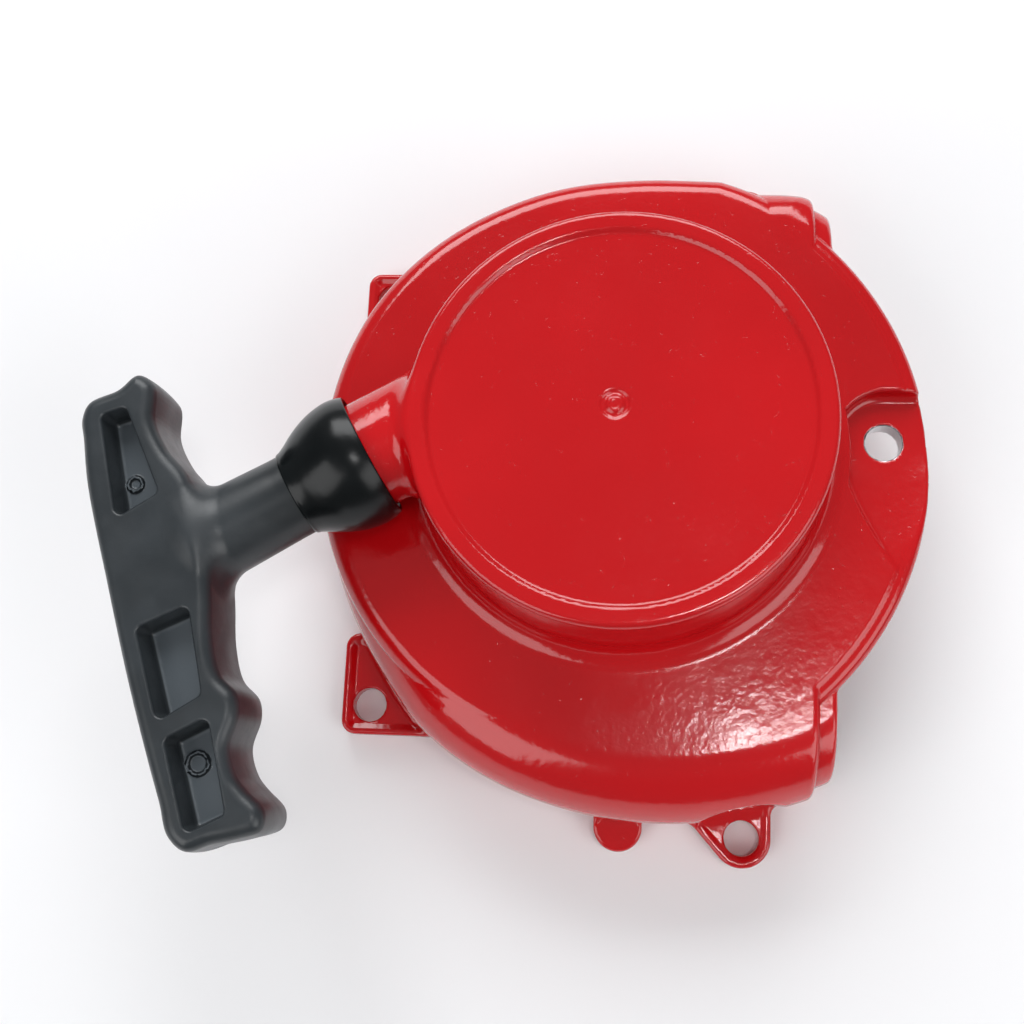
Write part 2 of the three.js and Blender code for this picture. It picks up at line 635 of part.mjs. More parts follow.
[0, 180].forEach((side, i) => {
  const pivot = new THREE.Group();
  pivot.position.set(...onCircle(PAWL_RING, side), 0);
  pivot.rotation.z = side * DEG;
  starter.add(pivot);
  const swing = new THREE.Group();
  swing.rotation.z = PAWL_REST_ANGLE * DEG;
  pivot.add(swing);
  const pin = rod(0, 0, 34, 35.2, 3.4, 20).add(rod(0, 0, 35, 43.2, 2, 16));
  const coil = turned([[2.4, 39.8], [3.6, 39.8], [3.6, 40.7], [2.4, 40.7]], 20);
  addPiece(`pawl_${i + 1}`, buildPawl(), STEEL, 0.4, 1, swing);
  addPiece(`pawl_pin_${i + 1}`, pin, STEEL, 0.25, 1, pivot);
  addPiece(`pawl_spring_${i + 1}`, coil, STEEL, 0.3, 1, pivot);
});

addPiece('cam_plate', buildCamPlate(), STEEL, 0.35, 1);
addPiece('thrust_washer', turned([
  [6.4, 33.7], [10.8, 33.7], [10.8, 34.6], [6.4, 34.6],
], 32), BRASS, 0.4, 1);
addPiece('friction_spring', turned([
  [6.6, 30.5], [8.8, 30.3], [8.9, 31], [6.7, 31.3],
], 32), STEEL, 0.3, 1);
addPiece('screw_washer', turned([
  [2.7, 28.9], [9.6, 28.9], [9.6, 30], [2.7, 30],
], 32), STEEL, 0.25, 1);
const screw = rod(0, 0, 25, 28.6, 5, 6).add(rod(0, 0, 28.2, 49.5, SCREW_RADIUS, 16));
addPiece('centre_screw', screw, STEEL, 0.25, 1);

export default starter;
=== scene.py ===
"""Recoil starter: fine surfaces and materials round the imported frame.

Shapes are in millimetres. The camera, the materials, the floor and the lights are in metres.
"""

import math

import bpy
import numpy as np
from mathutils import Matrix, Vector


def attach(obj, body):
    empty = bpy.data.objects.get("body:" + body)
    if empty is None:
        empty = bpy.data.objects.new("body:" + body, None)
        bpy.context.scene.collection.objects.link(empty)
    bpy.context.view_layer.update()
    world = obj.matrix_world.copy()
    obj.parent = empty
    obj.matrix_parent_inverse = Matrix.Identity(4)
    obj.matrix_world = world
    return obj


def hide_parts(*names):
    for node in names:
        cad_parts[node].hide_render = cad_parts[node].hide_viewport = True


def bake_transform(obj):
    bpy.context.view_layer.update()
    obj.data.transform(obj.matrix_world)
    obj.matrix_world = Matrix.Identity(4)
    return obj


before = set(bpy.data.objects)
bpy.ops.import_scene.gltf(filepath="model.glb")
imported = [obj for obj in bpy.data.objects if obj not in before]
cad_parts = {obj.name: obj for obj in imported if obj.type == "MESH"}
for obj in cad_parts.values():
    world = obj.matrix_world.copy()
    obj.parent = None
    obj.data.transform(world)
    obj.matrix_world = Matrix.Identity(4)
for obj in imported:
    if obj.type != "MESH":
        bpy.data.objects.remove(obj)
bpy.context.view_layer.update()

MM = 0.001
DEG = math.pi / 180

# ---- camera ---------------------------------------------------------------------------------

camera_data = bpy.data.cameras.new("camera")
camera_data.lens = 44.93
camera_data.sensor_width = 36
camera_data.clip_start = 0.01
camera = bpy.data.objects.new("camera", camera_data)
camera.matrix_world = Matrix((
    (0.99447, -0.02061, 0.10293, 0.0046),
    (0.04173, 0.97734, -0.20750, -0.0638),
    (-0.09633, 0.21065, 0.97280, 0.2718),
    (0, 0, 0, 1),
))
bpy.context.scene.collection.objects.link(camera)
bpy.context.scene.camera = camera

# ---- dimensions shared with the frame -------------------------------------------------------

WALL = 3.0
SHOULDER_Z, DRUM_TOP_Z = 33.5, 58.0
DRUM_RADIUS, DRUM_BASE_RADIUS = 37.8, 38.8
RECESS_RADIUS, RECESS_DEPTH = 34.0, 0.8
SCROLL = [
    (-60, 74.2), (-52, 76), (-30, 70), (0, 66), (30, 64), (50, 67.5), (56, 66.2), (66, 61.4),
    (78, 58.4), (91, 57.2), (117, 57.4), (150, 59.2), (180, 59.4), (194, 60.6), (210, 61.8),
    (222, 63.2), (235, 66.2), (250, 67.8), (262, 68.8), (275, 70.4), (290, 72.4), (300, 74.2),
]
SHOULDER_LIMIT = 60.0
DRUM_FOOT_RADIUS = 43.2
CUT_X, TONGUE_X, TONGUE_INSET = 37.0, 40.5, 1.6
BRIM_CENTRE, BRIM_RADIUS, BRIM_BOTTOM_Z = (-4.0, -1.5), 62.0, 25.0
BRIM_HOLE, BRIM_BOSS_RADIUS, BRIM_BOSS_Z = (49.9, 2.8), 7.5, 22.5
BRIM_BAND, BRIM_BAND_DROP, BRIM_SLOPE, BRIM_MID_Y, BRIM_HALF_LENGTH = 3.6, 0.35, 0.16, -1.5, 43.5
PAD_Z, PAD_RADIUS, PAD_BACKING = 29.8, 9.3, 2.2
BOLT_RADIUS, BOLT_TOP_Z, EAR_THICKNESS = 3.5, 14.0, 4.5
SQUARE_EAR_RIM, ROUND_EAR_RIM, ROUND_EAR_RADIUS, EAR_EDGE = 0.7, 0.5, 5.9, 0.7
SQUARE_EARS = [(-52.2, -48.8), (-52.6, 41.6)]
ROUND_EARS = [(25.3, -72.7), (25.5, 62.0)]
SCOOP_RADIUS, SCOOP_TOP_Z = 8.8, 27.0
TAB, TAB_HALF_WIDTH, TAB_SLOPE, TAB_SCOOP_TOP_Z = (0.5, -71.6), 4.9, 0.25, 12.5
MARK, MARK_RINGS = (-0.85, 1.7), ((-0.35, 2.1, 0.5), (0.12, 1.15, 0.3))
ROPE_RADIUS, ROPE_Z = 1.9, 46.5
HANDLE_BEARING, HANDLE_OFFSET = 210 * DEG, 18.2
NECK_RADIUS, NECK_END, NECK_BORE = 10.2, 51.0, 5.0
POST_RADIUS, POST_BOTTOM_Z, SPRING_POST_RADIUS, SPRING_POST_Z = 6.0, 30.3, 9.6, 44.0
SLOT_DEPTH, SLOT_HALF_WIDTH, SLOT_MID_Z, SLOT_HALF_HEIGHT = 2.2, 1.3, 47.2, 4.2
SCREW_BORE, SCREW_BORE_TOP_Z = 2.7, 50.5

GRIP_OUTLINE = [
    (73.4, -9.5), (74.8, -17), (74.6, -23), (71.9, -29), (73.6, -32.4), (78, -31.6), (83.8, -32),
    (86.3, -29.8), (87.6, -26), (90.3, -18), (94.6, 1.6), (98, 18.1), (100.5, 32.7), (101.6, 40),
    (102.6, 45.6), (101, 49.2), (96.5, 50.2), (91.5, 51.6), (87.8, 52.1), (86.1, 49.6), (87.4, 45),
    (88, 42), (87, 37), (83.1, 32.7), (82, 29.5), (83.2, 25), (81.8, 18.5), (77.6, 8.5),
]
POCKETS = [
    [(77.8, -27.5), (82.6, -28.4), (87.9, -9.3), (79, -9.8)],
    [(82.7, 11.5), (92.7, 10.7), (96, 27.3), (87.1, 26.8)],
    [(87.7, 30.9), (96.1, 30.7), (99.4, 46.8), (91.9, 47.2)],
]

# ---- distance fields ------------------------------------------------------------------------


def fillet(a, b, radius):
    """Union of two distance fields, with a round fillet where they meet."""
    u, v = np.maximum(radius - a, 0), np.maximum(radius - b, 0)
    return np.maximum(radius, np.minimum(a, b)) - np.hypot(u, v)


def smooth_step(t):
    t = np.clip(t, 0, 1)
    return t * t * (3 - 2 * t)


def rounded(a, b, radius):
    """Intersection of two distance fields, with a rounded edge where they meet."""
    return -fillet(-a, -b, radius)


def polygon_distance(x, y, corners, radius=0.0):
    """Signed distance to a polygon, with its corners rounded by a radius."""
    pts = np.asarray(corners, float)
    if radius:
        pts = inset_polygon(pts, radius)
    best = np.full(x.shape, 1e9)
    inside = np.zeros(x.shape, bool)
    for (x0, y0), (x1, y1) in zip(pts, np.roll(pts, -1, 0)):
        ex, ey = x1 - x0, y1 - y0
        t = np.clip(((x - x0) * ex + (y - y0) * ey) / (ex * ex + ey * ey), 0, 1)
        best = np.minimum(best, (x - x0 - ex * t) ** 2 + (y - y0 - ey * t) ** 2)
        crosses = (y0 > y) != (y1 > y)
        with np.errstate(divide="ignore", invalid="ignore"):
            inside ^= crosses & (x < (x1 - x0) * (y - y0) / (y1 - y0) + x0)
    distance = np.sqrt(best)
    return np.where(inside, -distance, distance) - radius


def signed_area(pts):
    """Twice a polygon's area, positive when its corners run anticlockwise."""
    return np.sum(pts[:, 0] * np.roll(pts[:, 1], -1) - np.roll(pts[:, 0], -1) * pts[:, 1])


def inset_polygon(pts, inset):
    turn = np.sign(signed_area(pts))
    moved = []
    for i in range(len(pts)):
        a, b, c = pts[i - 1], pts[i], pts[(i + 1) % len(pts)]
        n1 = turn * np.array([-(b - a)[1], (b - a)[0]]) / np.linalg.norm(b - a)
        n2 = turn * np.array([-(c - b)[1], (c - b)[0]]) / np.linalg.norm(c - b)
        moved.append(b + (n1 + n2) * inset / (1 + n1 @ n2))
    return np.array(moved)


# the scroll's radius at every half degree, smoothed by a Gaussian
SCROLL_STEP, SCROLL_SPREAD, KERNEL_REACH = 0.5, 3.5, 40
scroll_angles = np.arange(0, 360, SCROLL_STEP)
given_angles, given_radii = np.array(SCROLL[:-1], float).T
scroll = np.interp(scroll_angles, np.concatenate((given_angles, given_angles + 360)), np.tile(given_radii, 2))
kernel = np.exp(-0.5 * (np.arange(-KERNEL_REACH, KERNEL_REACH + 1) * SCROLL_STEP / SCROLL_SPREAD) ** 2)
scroll = np.convolve(np.concatenate((scroll[-KERNEL_REACH:], scroll, scroll[:KERNEL_REACH])),
                     kernel / kernel.sum(), "valid")


def scroll_radius(theta):
    return np.interp(np.degrees(theta) % 360, scroll_angles, scroll, period=360)


def along_handle(x, y):
    """Handle frame: along the rope outwards, and across it."""
    c, s = math.cos(HANDLE_BEARING), math.sin(HANDLE_BEARING)
    return x * c + y * s, -x * s + y * c + HANDLE_OFFSET


def scoop_field(x, y, z, at, radius, floor_z):
    tall = rounded(np.hypot(x - at[0], y - at[1]) - radius, z - SCOOP_TOP_Z, 5.0)
    return np.maximum(tall, floor_z - z)


def body_of_revolution(r, z, grow):
    taper = DRUM_BASE_RADIUS - (z - SHOULDER_Z) / (DRUM_TOP_Z - SHOULDER_Z) * (DRUM_BASE_RADIUS - DRUM_RADIUS)
    top = DRUM_TOP_Z if grow == 0 else DRUM_TOP_Z - RECESS_DEPTH + grow
    return rounded(r - taper - grow, z - top, 1.3 if grow == 0 else 2.0)


def skirt(r, theta, z, grow):
    radius = scroll_radius(theta)
    top = z - SHOULDER_Z - grow
    squarer = np.clip(1 - np.abs(theta - 1.0) / 0.3, 0, 1)
    wide = rounded(r - radius - grow, top, 13.0 + grow - 4.5 * squarer)
    flat = rounded(r + 0.1 - np.minimum(radius, SHOULDER_LIMIT) - grow, top, 4.5 + grow)
    return np.minimum(wide, flat)


def brim_field(from_edge, x, z):
    """Flat brim, with a lower band along its edge."""
    band = smooth_step((from_edge + BRIM_BAND) / 1.1)
    drop = BRIM_BAND_DROP * band + BRIM_SLOPE * np.maximum(from_edge + 3.0, 0)
    brim = rounded(from_edge, z - SHOULDER_Z + drop, 1.8)
    return np.maximum(np.maximum(brim, BRIM_BOTTOM_Z - z), CUT_X - 4 - x)


def square_ear(x, y, z, ex, ey):
    out = 1 if ey > 0 else -1
    corners = [
        (ex - 5.8, ey + out * 6.2), (ex - 5.8, ey - out * 16),
        (ex + 22, ey - out * 8), (ex + 13, ey + out * 6.2),
    ]
    plan = polygon_distance(x, y, corners[::-out], 3.0)
    rim = SQUARE_EAR_RIM * np.clip((plan + 2.4) / 1.2, 0, 1)
    return rounded(plan, z - EAR_THICKNESS + SQUARE_EAR_RIM - rim, EAR_EDGE)


def round_ear(x, y, z, ex, ey):
    out = 1 if ey > 0 else -1
    root = polygon_distance(x, y, [
        (ex - 4.2, ey + out * 4.1), (ex - 16, ey - out * 9),
        (ex + ROUND_EAR_RADIUS, ey - out * 9), (ex + ROUND_EAR_RADIUS, ey),
    ])
    plan = np.minimum(np.hypot(x - ex, y - ey) - ROUND_EAR_RADIUS, root)
    rim = ROUND_EAR_RIM * np.clip((plan + 2.0) / 0.9, 0, 1)
    return rounded(plan, z - EAR_THICKNESS + ROUND_EAR_RIM - rim, EAR_EDGE)


def tab_field(x, y, z):
    inwards = y - TAB[1]
    plan = np.maximum(np.hypot(x - TAB[0], np.minimum(inwards, 0)) - TAB_HALF_WIDTH, inwards - 6)
    return rounded(plan, z - (EAR_THICKNESS + 0.6 + inwards * TAB_SLOPE), 0.8)


def drum_field(x, y, z, r):
    """Drum with its sunk top, and the ring mark on that top."""
    from_mark = np.hypot(x - MARK[0], y - MARK[1])
    mark = sum(height * np.exp(-((from_mark - at) / width) ** 2) for height, at, width in MARK_RINGS)
    sunk = 1 / (1 + np.exp(np.clip(-(RECESS_RADIUS - r + 0.1) / 0.24, -40, 40)))
    top = DRUM_TOP_Z - RECESS_DEPTH * sunk + mark
    return rounded(body_of_revolution(r, z, 0), z - top, 0.3)


def hollow_field(x, y, z, r, theta):
    """Space inside the skirt and the drum, open past the tongue."""
    hollow = skirt(r, theta, z, -WALL)
    hollow = fillet(hollow, body_of_revolution(r, z, -WALL), 1.5)
    past_tongue = x - TONGUE_X - 1
    hollow = np.maximum(hollow, np.minimum(np.maximum(past_tongue, z - SHOULDER_Z + WALL), r - 30))
    hollow = np.where(r < 36, hollow, np.maximum(hollow, past_tongue))
    for at in ROUND_EARS:
        hollow = rounded(hollow, -scoop_field(x, y, z, at, SCOOP_RADIUS + WALL - 0.5, -20.0), 1.5)
    return hollow


def under_brim(from_edge, x, y, z, hx, hy, hole_r):
    """Space under the brim, round the bolt boss and the metal behind the sunk pad."""
    under = rounded(from_edge + WALL, z - SHOULDER_Z + WALL, 1.2)
    under = np.maximum(np.maximum(under, CUT_X - 1 - x), np.abs(y - BRIM_MID_Y) - BRIM_HALF_LENGTH)
    behind = PAD_Z - WALL - z
    backing = np.maximum(hole_r - PAD_RADIUS - PAD_BACKING, behind)
    backing = np.minimum(backing, np.maximum(np.maximum(-hx, np.abs(hy - 2.65) - 8.85), behind))
    boss = np.maximum(hole_r - BRIM_BOSS_RADIUS, BRIM_BOSS_Z - z)
    return rounded(under, -np.minimum(backing, boss), 0.8)


def post_field(x, y, z, r):
    """Centre post, with the slot that holds the spring's inner end."""
    post = np.maximum(r - POST_RADIUS, POST_BOTTOM_Z - z)
    spring_post = rounded(r - SPRING_POST_RADIUS, SPRING_POST_Z - z, 0.5)
    slot = np.maximum(SPRING_POST_RADIUS - SLOT_DEPTH - x, np.abs(y) - SLOT_HALF_WIDTH)
    slot = np.maximum(slot, np.abs(z - SLOT_MID_Z) - SLOT_HALF_HEIGHT)
    spring_post = rounded(spring_post, -slot, 0.2)
    return np.maximum(np.minimum(post, spring_post), z - DRUM_TOP_Z + 2)


def pad_field(z, r, hx, hy):
    """Sunk pad round the brim's bolt hole. Its floor rises gently towards -Y."""
    below = np.maximum(-hy, 0)
    plan = np.hypot(np.minimum(hx, 0), hy) - PAD_RADIUS
    plan = np.where(hy < 0, np.maximum(-hx - PAD_RADIUS + 0.08 * below ** 1.5, hy - PAD_RADIUS), plan)
    floor_z = PAD_Z + (SHOULDER_Z + 0.8 - PAD_Z) * smooth_step((below + 2.0) / 38.0)
    floor_z = floor_z + 0.008 * hx ** 2 * smooth_step(below / 8)
    return np.maximum(rounded(plan, floor_z - z, 1.6), DRUM_FOOT_RADIUS - r)


def housing_field(p):
    x, y, z = p[:, 0], p[:, 1], p[:, 2]
    r, theta = np.hypot(x, y), np.arctan2(y, x)
    hx, hy = x - BRIM_HOLE[0], y - BRIM_HOLE[1]
    hole_r = np.hypot(hx, hy)
    from_edge = np.hypot(x - BRIM_CENTRE[0], y - BRIM_CENTRE[1]) - BRIM_RADIUS
    along, across = along_handle(x, y)
    neck_r = np.hypot(across, z - ROPE_Z)

    # skirt with its open side, the thinner tongue past it, and the brim
    main = rounded(skirt(r, theta, z, 0), x - CUT_X, 1.0)
    tongue = rounded(skirt(r, theta, z, -TONGUE_INSET), x - TONGUE_X, 0.8)
    cover = np.minimum(main, tongue)
    cover = fillet(cover, brim_field(from_edge, x, z), 0.02 + 2.2 * smooth_step((SHOULDER_Z - 1.2 - z) / 4))

    # ears and tab, each ear with a raised edge
    for ex, ey in SQUARE_EARS:
        cover = fillet(cover, square_ear(x, y, z, ex, ey), 3.2)
    for ex, ey in ROUND_EARS:
        cover = fillet(cover, round_ear(x, y, z, ex, ey), 1.6)
    cover = fillet(cover, tab_field(x, y, z), 0.6)

    # drum and neck
    cover = fillet(cover, drum_field(x, y, z, r), 4.6)
    neck = rounded(neck_r - NECK_RADIUS, along - NECK_END, 0.9)
    neck = np.maximum(neck, np.maximum(20 - along, DRUM_RADIUS - 1.2 - r))
    cover = fillet(cover, neck, 3.2)

    # scoops that clear the bolt heads, and the one above the tab
    for at in ROUND_EARS:
        cover = rounded(cover, -scoop_field(x, y, z, at, SCOOP_RADIUS, EAR_THICKNESS), 1.2)
    tab_scoop = np.hypot(x - TAB[0], y - TAB[1] + 1.6) - TAB_HALF_WIDTH + 0.2
    tab_scoop = rounded(tab_scoop, z - TAB_SCOOP_TOP_Z, 2.5)
    cover = rounded(cover, -np.maximum(tab_scoop, EAR_THICKNESS + 0.4 - z), 0.6)

    # hollow, and the post inside it
    hollow = hollow_field(x, y, z, r, theta)
    hollow = np.minimum(hollow, under_brim(from_edge, x, y, z, hx, hy, hole_r))
    cover = rounded(cover, -hollow, 0.7)
    cover = fillet(cover, post_field(x, y, z, r), 0.8)

    # bolt holes, sunk pad, and the bores of the post and the neck
    for ex, ey in SQUARE_EARS + ROUND_EARS:
        bolt = np.hypot(x - ex, y - ey) - BOLT_RADIUS
        cover = rounded(cover, -np.maximum(bolt, z - BOLT_TOP_Z), 0.45)
    cover = rounded(cover, -pad_field(z, r, hx, hy), 0.5)
    cover = rounded(cover, -(hole_r - BOLT_RADIUS), 0.3)
    cover = np.maximum(cover, -np.maximum(r - SCREW_BORE, z - SCREW_BORE_TOP_Z))
    bore = NECK_BORE + 3.0 * np.clip((43 - along) / 10, 0, 1)
    cover = rounded(cover, -np.maximum(neck_r - bore, 18 - along), 0.5)
    return np.maximum(cover, -z)


def closed_spline(points, per_side):
    """Centripetal Catmull-Rom curve through the points."""
    pts = np.asarray(points, float)
    n = len(pts)
    result = []
    for i in range(n):
        p0, p1, p2, p3 = pts[i - 1], pts[i], pts[(i + 1) % n], pts[(i + 2) % n]
        t0 = 0.0
        t1 = t0 + np.linalg.norm(p1 - p0) ** 0.5
        t2 = t1 + np.linalg.norm(p2 - p1) ** 0.5
        t3 = t2 + np.linalg.norm(p3 - p2) ** 0.5
        for t in np.linspace(t1, t2, per_side, endpoint=False):
            a1 = (t1 - t) / (t1 - t0) * p0 + (t - t0) / (t1 - t0) * p1
            a2 = (t2 - t) / (t2 - t1) * p1 + (t - t1) / (t2 - t1) * p2
            a3 = (t3 - t) / (t3 - t2) * p2 + (t - t2) / (t3 - t2) * p3
            b1 = (t2 - t) / (t2 - t0) * a1 + (t - t0) / (t2 - t0) * a2
            b2 = (t3 - t) / (t3 - t1) * a2 + (t - t1) / (t3 - t1) * a3
            result.append((t2 - t) / (t2 - t1) * b1 + (t - t1) / (t2 - t1) * b2)
    return np.array(result)


class PlanTable:
    """Distance to a closed outline, kept on a fine grid."""

    def __init__(self, outline, step=0.25, margin=8):
        self.low, high = outline.min(0) - margin, outline.max(0) + margin
        self.step = step
        nx, ny = (np.ceil((high - self.low) / step).astype(int) + 1)
        gx, gy = np.meshgrid(self.low[0] + np.arange(nx) * step, self.low[1] + np.arange(ny) * step,
                             indexing="ij")
        self.values = polygon_distance(gx.ravel(), gy.ravel(), outline).reshape(nx, ny)

    def __call__(self, x, y):
        u = np.clip((x - self.low[0]) / self.step, 0, self.values.shape[0] - 1.001)
        v = np.clip((y - self.low[1]) / self.step, 0, self.values.shape[1] - 1.001)
        i, j = u.astype(int), v.astype(int)
        fu, fv = u - i, v - j
        t = self.values
        return ((t[i, j] * (1 - fu) + t[i + 1, j] * fu) * (1 - fv)
                + (t[i, j + 1] * (1 - fu) + t[i + 1, j + 1] * fu) * fv)


GRIP_HALF_THICKNESS, GRIP_ROUNDING, GRIP_DRAFT, POCKET_DEPTH = 8.8, 2.2, 0.5, 6.0
POCKET_CORNER, POCKET_DRAFT = 1.3, 0.07
STEM_RADIUS, STEM_START, STEM_END = 7.8, 56.3, 78.0
PLUG_RADIUS, PLUG_START, PLUG_END = 5.2, 53, 60
GRIP_BORE, GRIP_BORE_END, KNOT_RECESS_RADIUS, KNOT_RECESS_START = 2.4, 90, 5.5, 84
EJECTOR_MARKS = ((83.5, -15.4, 1.3), (94.1, 36.3, 1.9))
grip_plan = PlanTable(closed_spline(GRIP_OUTLINE, 7))


def grip_field(p):
    """T grip in the handle's frame, with z from the rope's axis."""
    x, y, z = p[:, 0], p[:, 1], p[:, 2]
    draft = GRIP_DRAFT * (1 - (z / GRIP_HALF_THICKNESS) ** 2)
    slab = rounded(grip_plan(x, y) - draft, np.abs(z) - GRIP_HALF_THICKNESS, GRIP_ROUNDING)
    radial = np.hypot(y, z)
    flare = STEM_RADIUS + 0.5 * np.clip((x - 60) / 16, 0, 1)
    stem = rounded(radial - flare, np.maximum(STEM_START - x, x - STEM_END), 1.0)
    plug = np.maximum(radial - PLUG_RADIUS, np.maximum(PLUG_START - x, x - PLUG_END))
    grip = fillet(fillet(slab, stem, 4.0), plug, 0.4)
    pocket_floor = GRIP_HALF_THICKNESS - POCKET_DEPTH
    for corners in POCKETS:
        plan = polygon_distance(x, y, corners, POCKET_CORNER)
        depth = np.abs(z) - GRIP_HALF_THICKNESS
        pocket = rounded(plan - depth * POCKET_DRAFT, pocket_floor - np.abs(z), 0.9)
        grip = rounded(grip, -pocket, 0.5)
    for mx, my, mr in EJECTOR_MARKS:
        ring = np.abs(np.hypot(x - mx, y - my) - mr) - 0.35
        mark = np.maximum(ring, np.abs(np.abs(z) - pocket_floor) - 0.45)
        grip = fillet(grip, mark, 0.25)
    grip = rounded(grip, -(np.maximum(radial - GRIP_BORE, x - GRIP_BORE_END)), 0.3)
    return rounded(grip, -np.maximum(radial - KNOT_RECESS_RADIUS, KNOT_RECESS_START - x), 0.6)


# ---- surface of a distance field ------------------------------------------------------------


def in_chunks(field, points, size=400000):
    return np.concatenate([field(points[i:i + size]) for i in range(0, len(points), size)])


def surface(field, low, high, step):
    """Vertices and quads of the field's zero surface, on a grid that is filled only near it."""
    block = 8
    low = np.array(low, float)
    blocks = np.ceil((np.array(high) - low) / (step * block)).astype(int)
    shape = blocks * block
    centres = np.stack(np.meshgrid(*[np.arange(n) for n in blocks], indexing="ij"), -1).reshape(-1, 3)
    middle = low + (centres * block + (block - 1) / 2) * step
    rough = in_chunks(field, middle)
    near = np.abs(rough) < step * block * 0.9 + 1.5
    grid = np.repeat(np.repeat(np.repeat(np.sign(rough).reshape(blocks), block, 0), block, 1), block, 2)
    grid = grid.astype(np.float32) * 9
    offsets = np.stack(np.meshgrid(*[np.arange(block)] * 3, indexing="ij"), -1).reshape(-1, 3)
    cells = (centres[near][:, None] * block + offsets[None]).reshape(-1, 3)
    values = in_chunks(field, low + cells * step)
    grid[cells[:, 0], cells[:, 1], cells[:, 2]] = values

    sign = grid > 0
    count = np.zeros(shape - 1, np.int8)
    for dx in (0, 1):
        for dy in (0, 1):
            for dz in (0, 1):
                count += sign[dx:shape[0] - 1 + dx, dy:shape[1] - 1 + dy, dz:shape[2] - 1 + dz]
    active = np.argwhere((count > 0) & (count < 8))
    index = np.full(shape - 1, -1, np.int64)
    index[active[:, 0], active[:, 1], active[:, 2]] = np.arange(len(active))

    total = np.zeros((len(active), 3))
    number = np.zeros(len(active))
    corners = [(a, b, c) for a in (0, 1) for b in (0, 1) for c in (0, 1)]
    for a in corners:
        for axis in range(3):
            if a[axis]:
                continue
            b = list(a)
            b[axis] = 1
            va = grid[tuple((active + a).T)]
            vb = grid[tuple((active + b).T)]
            crossed = (va > 0) != (vb > 0)
            with np.errstate(divide="ignore", invalid="ignore"):
                t = np.where(crossed, va / (va - vb), 0)
            at = np.array(a, float)[None] + np.eye(3)[axis][None] * t[:, None]
            total += np.where(crossed[:, None], at, 0)
            number += crossed
    vertices = low + (active + total / number[:, None]) * step

    quads = []
    for axis in range(3):
        u, v = (axis + 1) % 3, (axis + 2) % 3
        here = [slice(0, shape[0] - 1), slice(0, shape[1] - 1), slice(0, shape[2] - 1)]
        there = list(here)
        there[axis] = slice(1, shape[axis])
        a, b = sign[tuple(here)], sign[tuple(there)]
        crossing = a != b
        crossing_at = np.argwhere(crossing)
        keep = (crossing_at[:, u] > 0) & (crossing_at[:, v] > 0)
        crossing_at = crossing_at[keep]
        du, dv = np.eye(3, dtype=int)[u], np.eye(3, dtype=int)[v]
        ring = [crossing_at - du - dv, crossing_at - dv, crossing_at, crossing_at - du]
        ids = np.stack([index[tuple(c.T)] for c in ring], 1)
        flip = a[tuple(crossing_at.T)]
        ids[flip] = ids[flip][:, ::-1]
        quads.append(ids[(ids >= 0).all(1)])
    quads = np.concatenate(quads)
    return vertices, quads


def gradient(field, points, h=0.04):
    """Slope of the field, from differences over h each way."""
    parts = []
    for axis in range(3):
        shift = np.eye(3)[axis] * h
        parts.append(in_chunks(field, points + shift) - in_chunks(field, points - shift))
    return np.stack(parts, 1) / (2 * h)


def settle(field, points, step, rounds=2):
    """Moves points onto the surface, by at most half a step a round."""
    for _ in range(rounds):
        g = gradient(field, points)
        d = in_chunks(field, points)
        move = g * (d / np.maximum((g * g).sum(1), 0.2))[:, None]
        length = np.linalg.norm(move, axis=1)
        move *= np.minimum(1, 0.5 * step / np.maximum(length, 1e-9))[:, None]
        points = points - move
    return points


def new_object(name, vertices, faces, body, material, replaced=()):
    mesh = bpy.data.meshes.new(name)
    if isinstance(faces, np.ndarray):
        mesh.vertices.add(len(vertices))
        mesh.vertices.foreach_set("co", (np.asarray(vertices) * MM).astype(np.float32).ravel())
        mesh.loops.add(faces.size)
        mesh.loops.foreach_set("vertex_index", faces.astype(np.int32).ravel())
        mesh.polygons.add(len(faces))
        mesh.polygons.foreach_set("loop_start", np.arange(0, faces.size, faces.shape[1], dtype=np.int32))
        mesh.update(calc_edges=True)
    else:
        mesh.from_pydata((np.asarray(vertices) * MM).tolist(), [], faces)
    mesh.validate()
    mesh.shade_smooth()
    obj = bpy.data.objects.new(name, mesh)
    bpy.context.scene.collection.objects.link(obj)
    mesh.materials.append(material)
    if body:
        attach(obj, body)
    if replaced:
        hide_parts(*replaced)
    return obj


def field_object(name, field, low, high, step, keep_faces, place, body, material, replaced):
    """Piece whose surface is a distance field's, thinned to about keep_faces triangles and then placed."""
    vertices, quads = surface(field, low, high, step)
    vertices = settle(field, vertices, step)
    obj = new_object(name, vertices, quads, None, material)
    if 2 * len(quads) > keep_faces:
        thin = obj.modifiers.new("thin", "DECIMATE")
        thin.ratio = keep_faces / (2 * len(quads))
        bpy.context.view_layer.update()
        evaluated = obj.evaluated_get(bpy.context.evaluated_depsgraph_get())
        mesh = bpy.data.meshes.new_from_object(evaluated)
        obj.modifiers.clear()
        obj.data = mesh
        mesh.name = name
    mesh = obj.data
    co = np.empty(len(mesh.vertices) * 3, np.float32)
    mesh.vertices.foreach_get("co", co)
    points = co.reshape(-1, 3).astype(float) / MM
    points = settle(field, points, step * 0.4, 1)
    normals = gradient(field, points, 0.12)
    normals /= np.maximum(np.linalg.norm(normals, axis=1), 1e-9)[:, None]
    turn = np.array(place.to_3x3())
    shift = np.array(place.translation)
    points = points @ turn.T + shift
    normals = normals @ turn.T
    mesh.vertices.foreach_set("co", (points * MM).astype(np.float32).ravel())
    mesh.update()
    mesh.shade_smooth()
    mesh.normals_split_custom_set_from_vertices(normals.tolist())
    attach(obj, body)
    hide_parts(*replaced)


# ---- materials ------------------------------------------------------------------------------


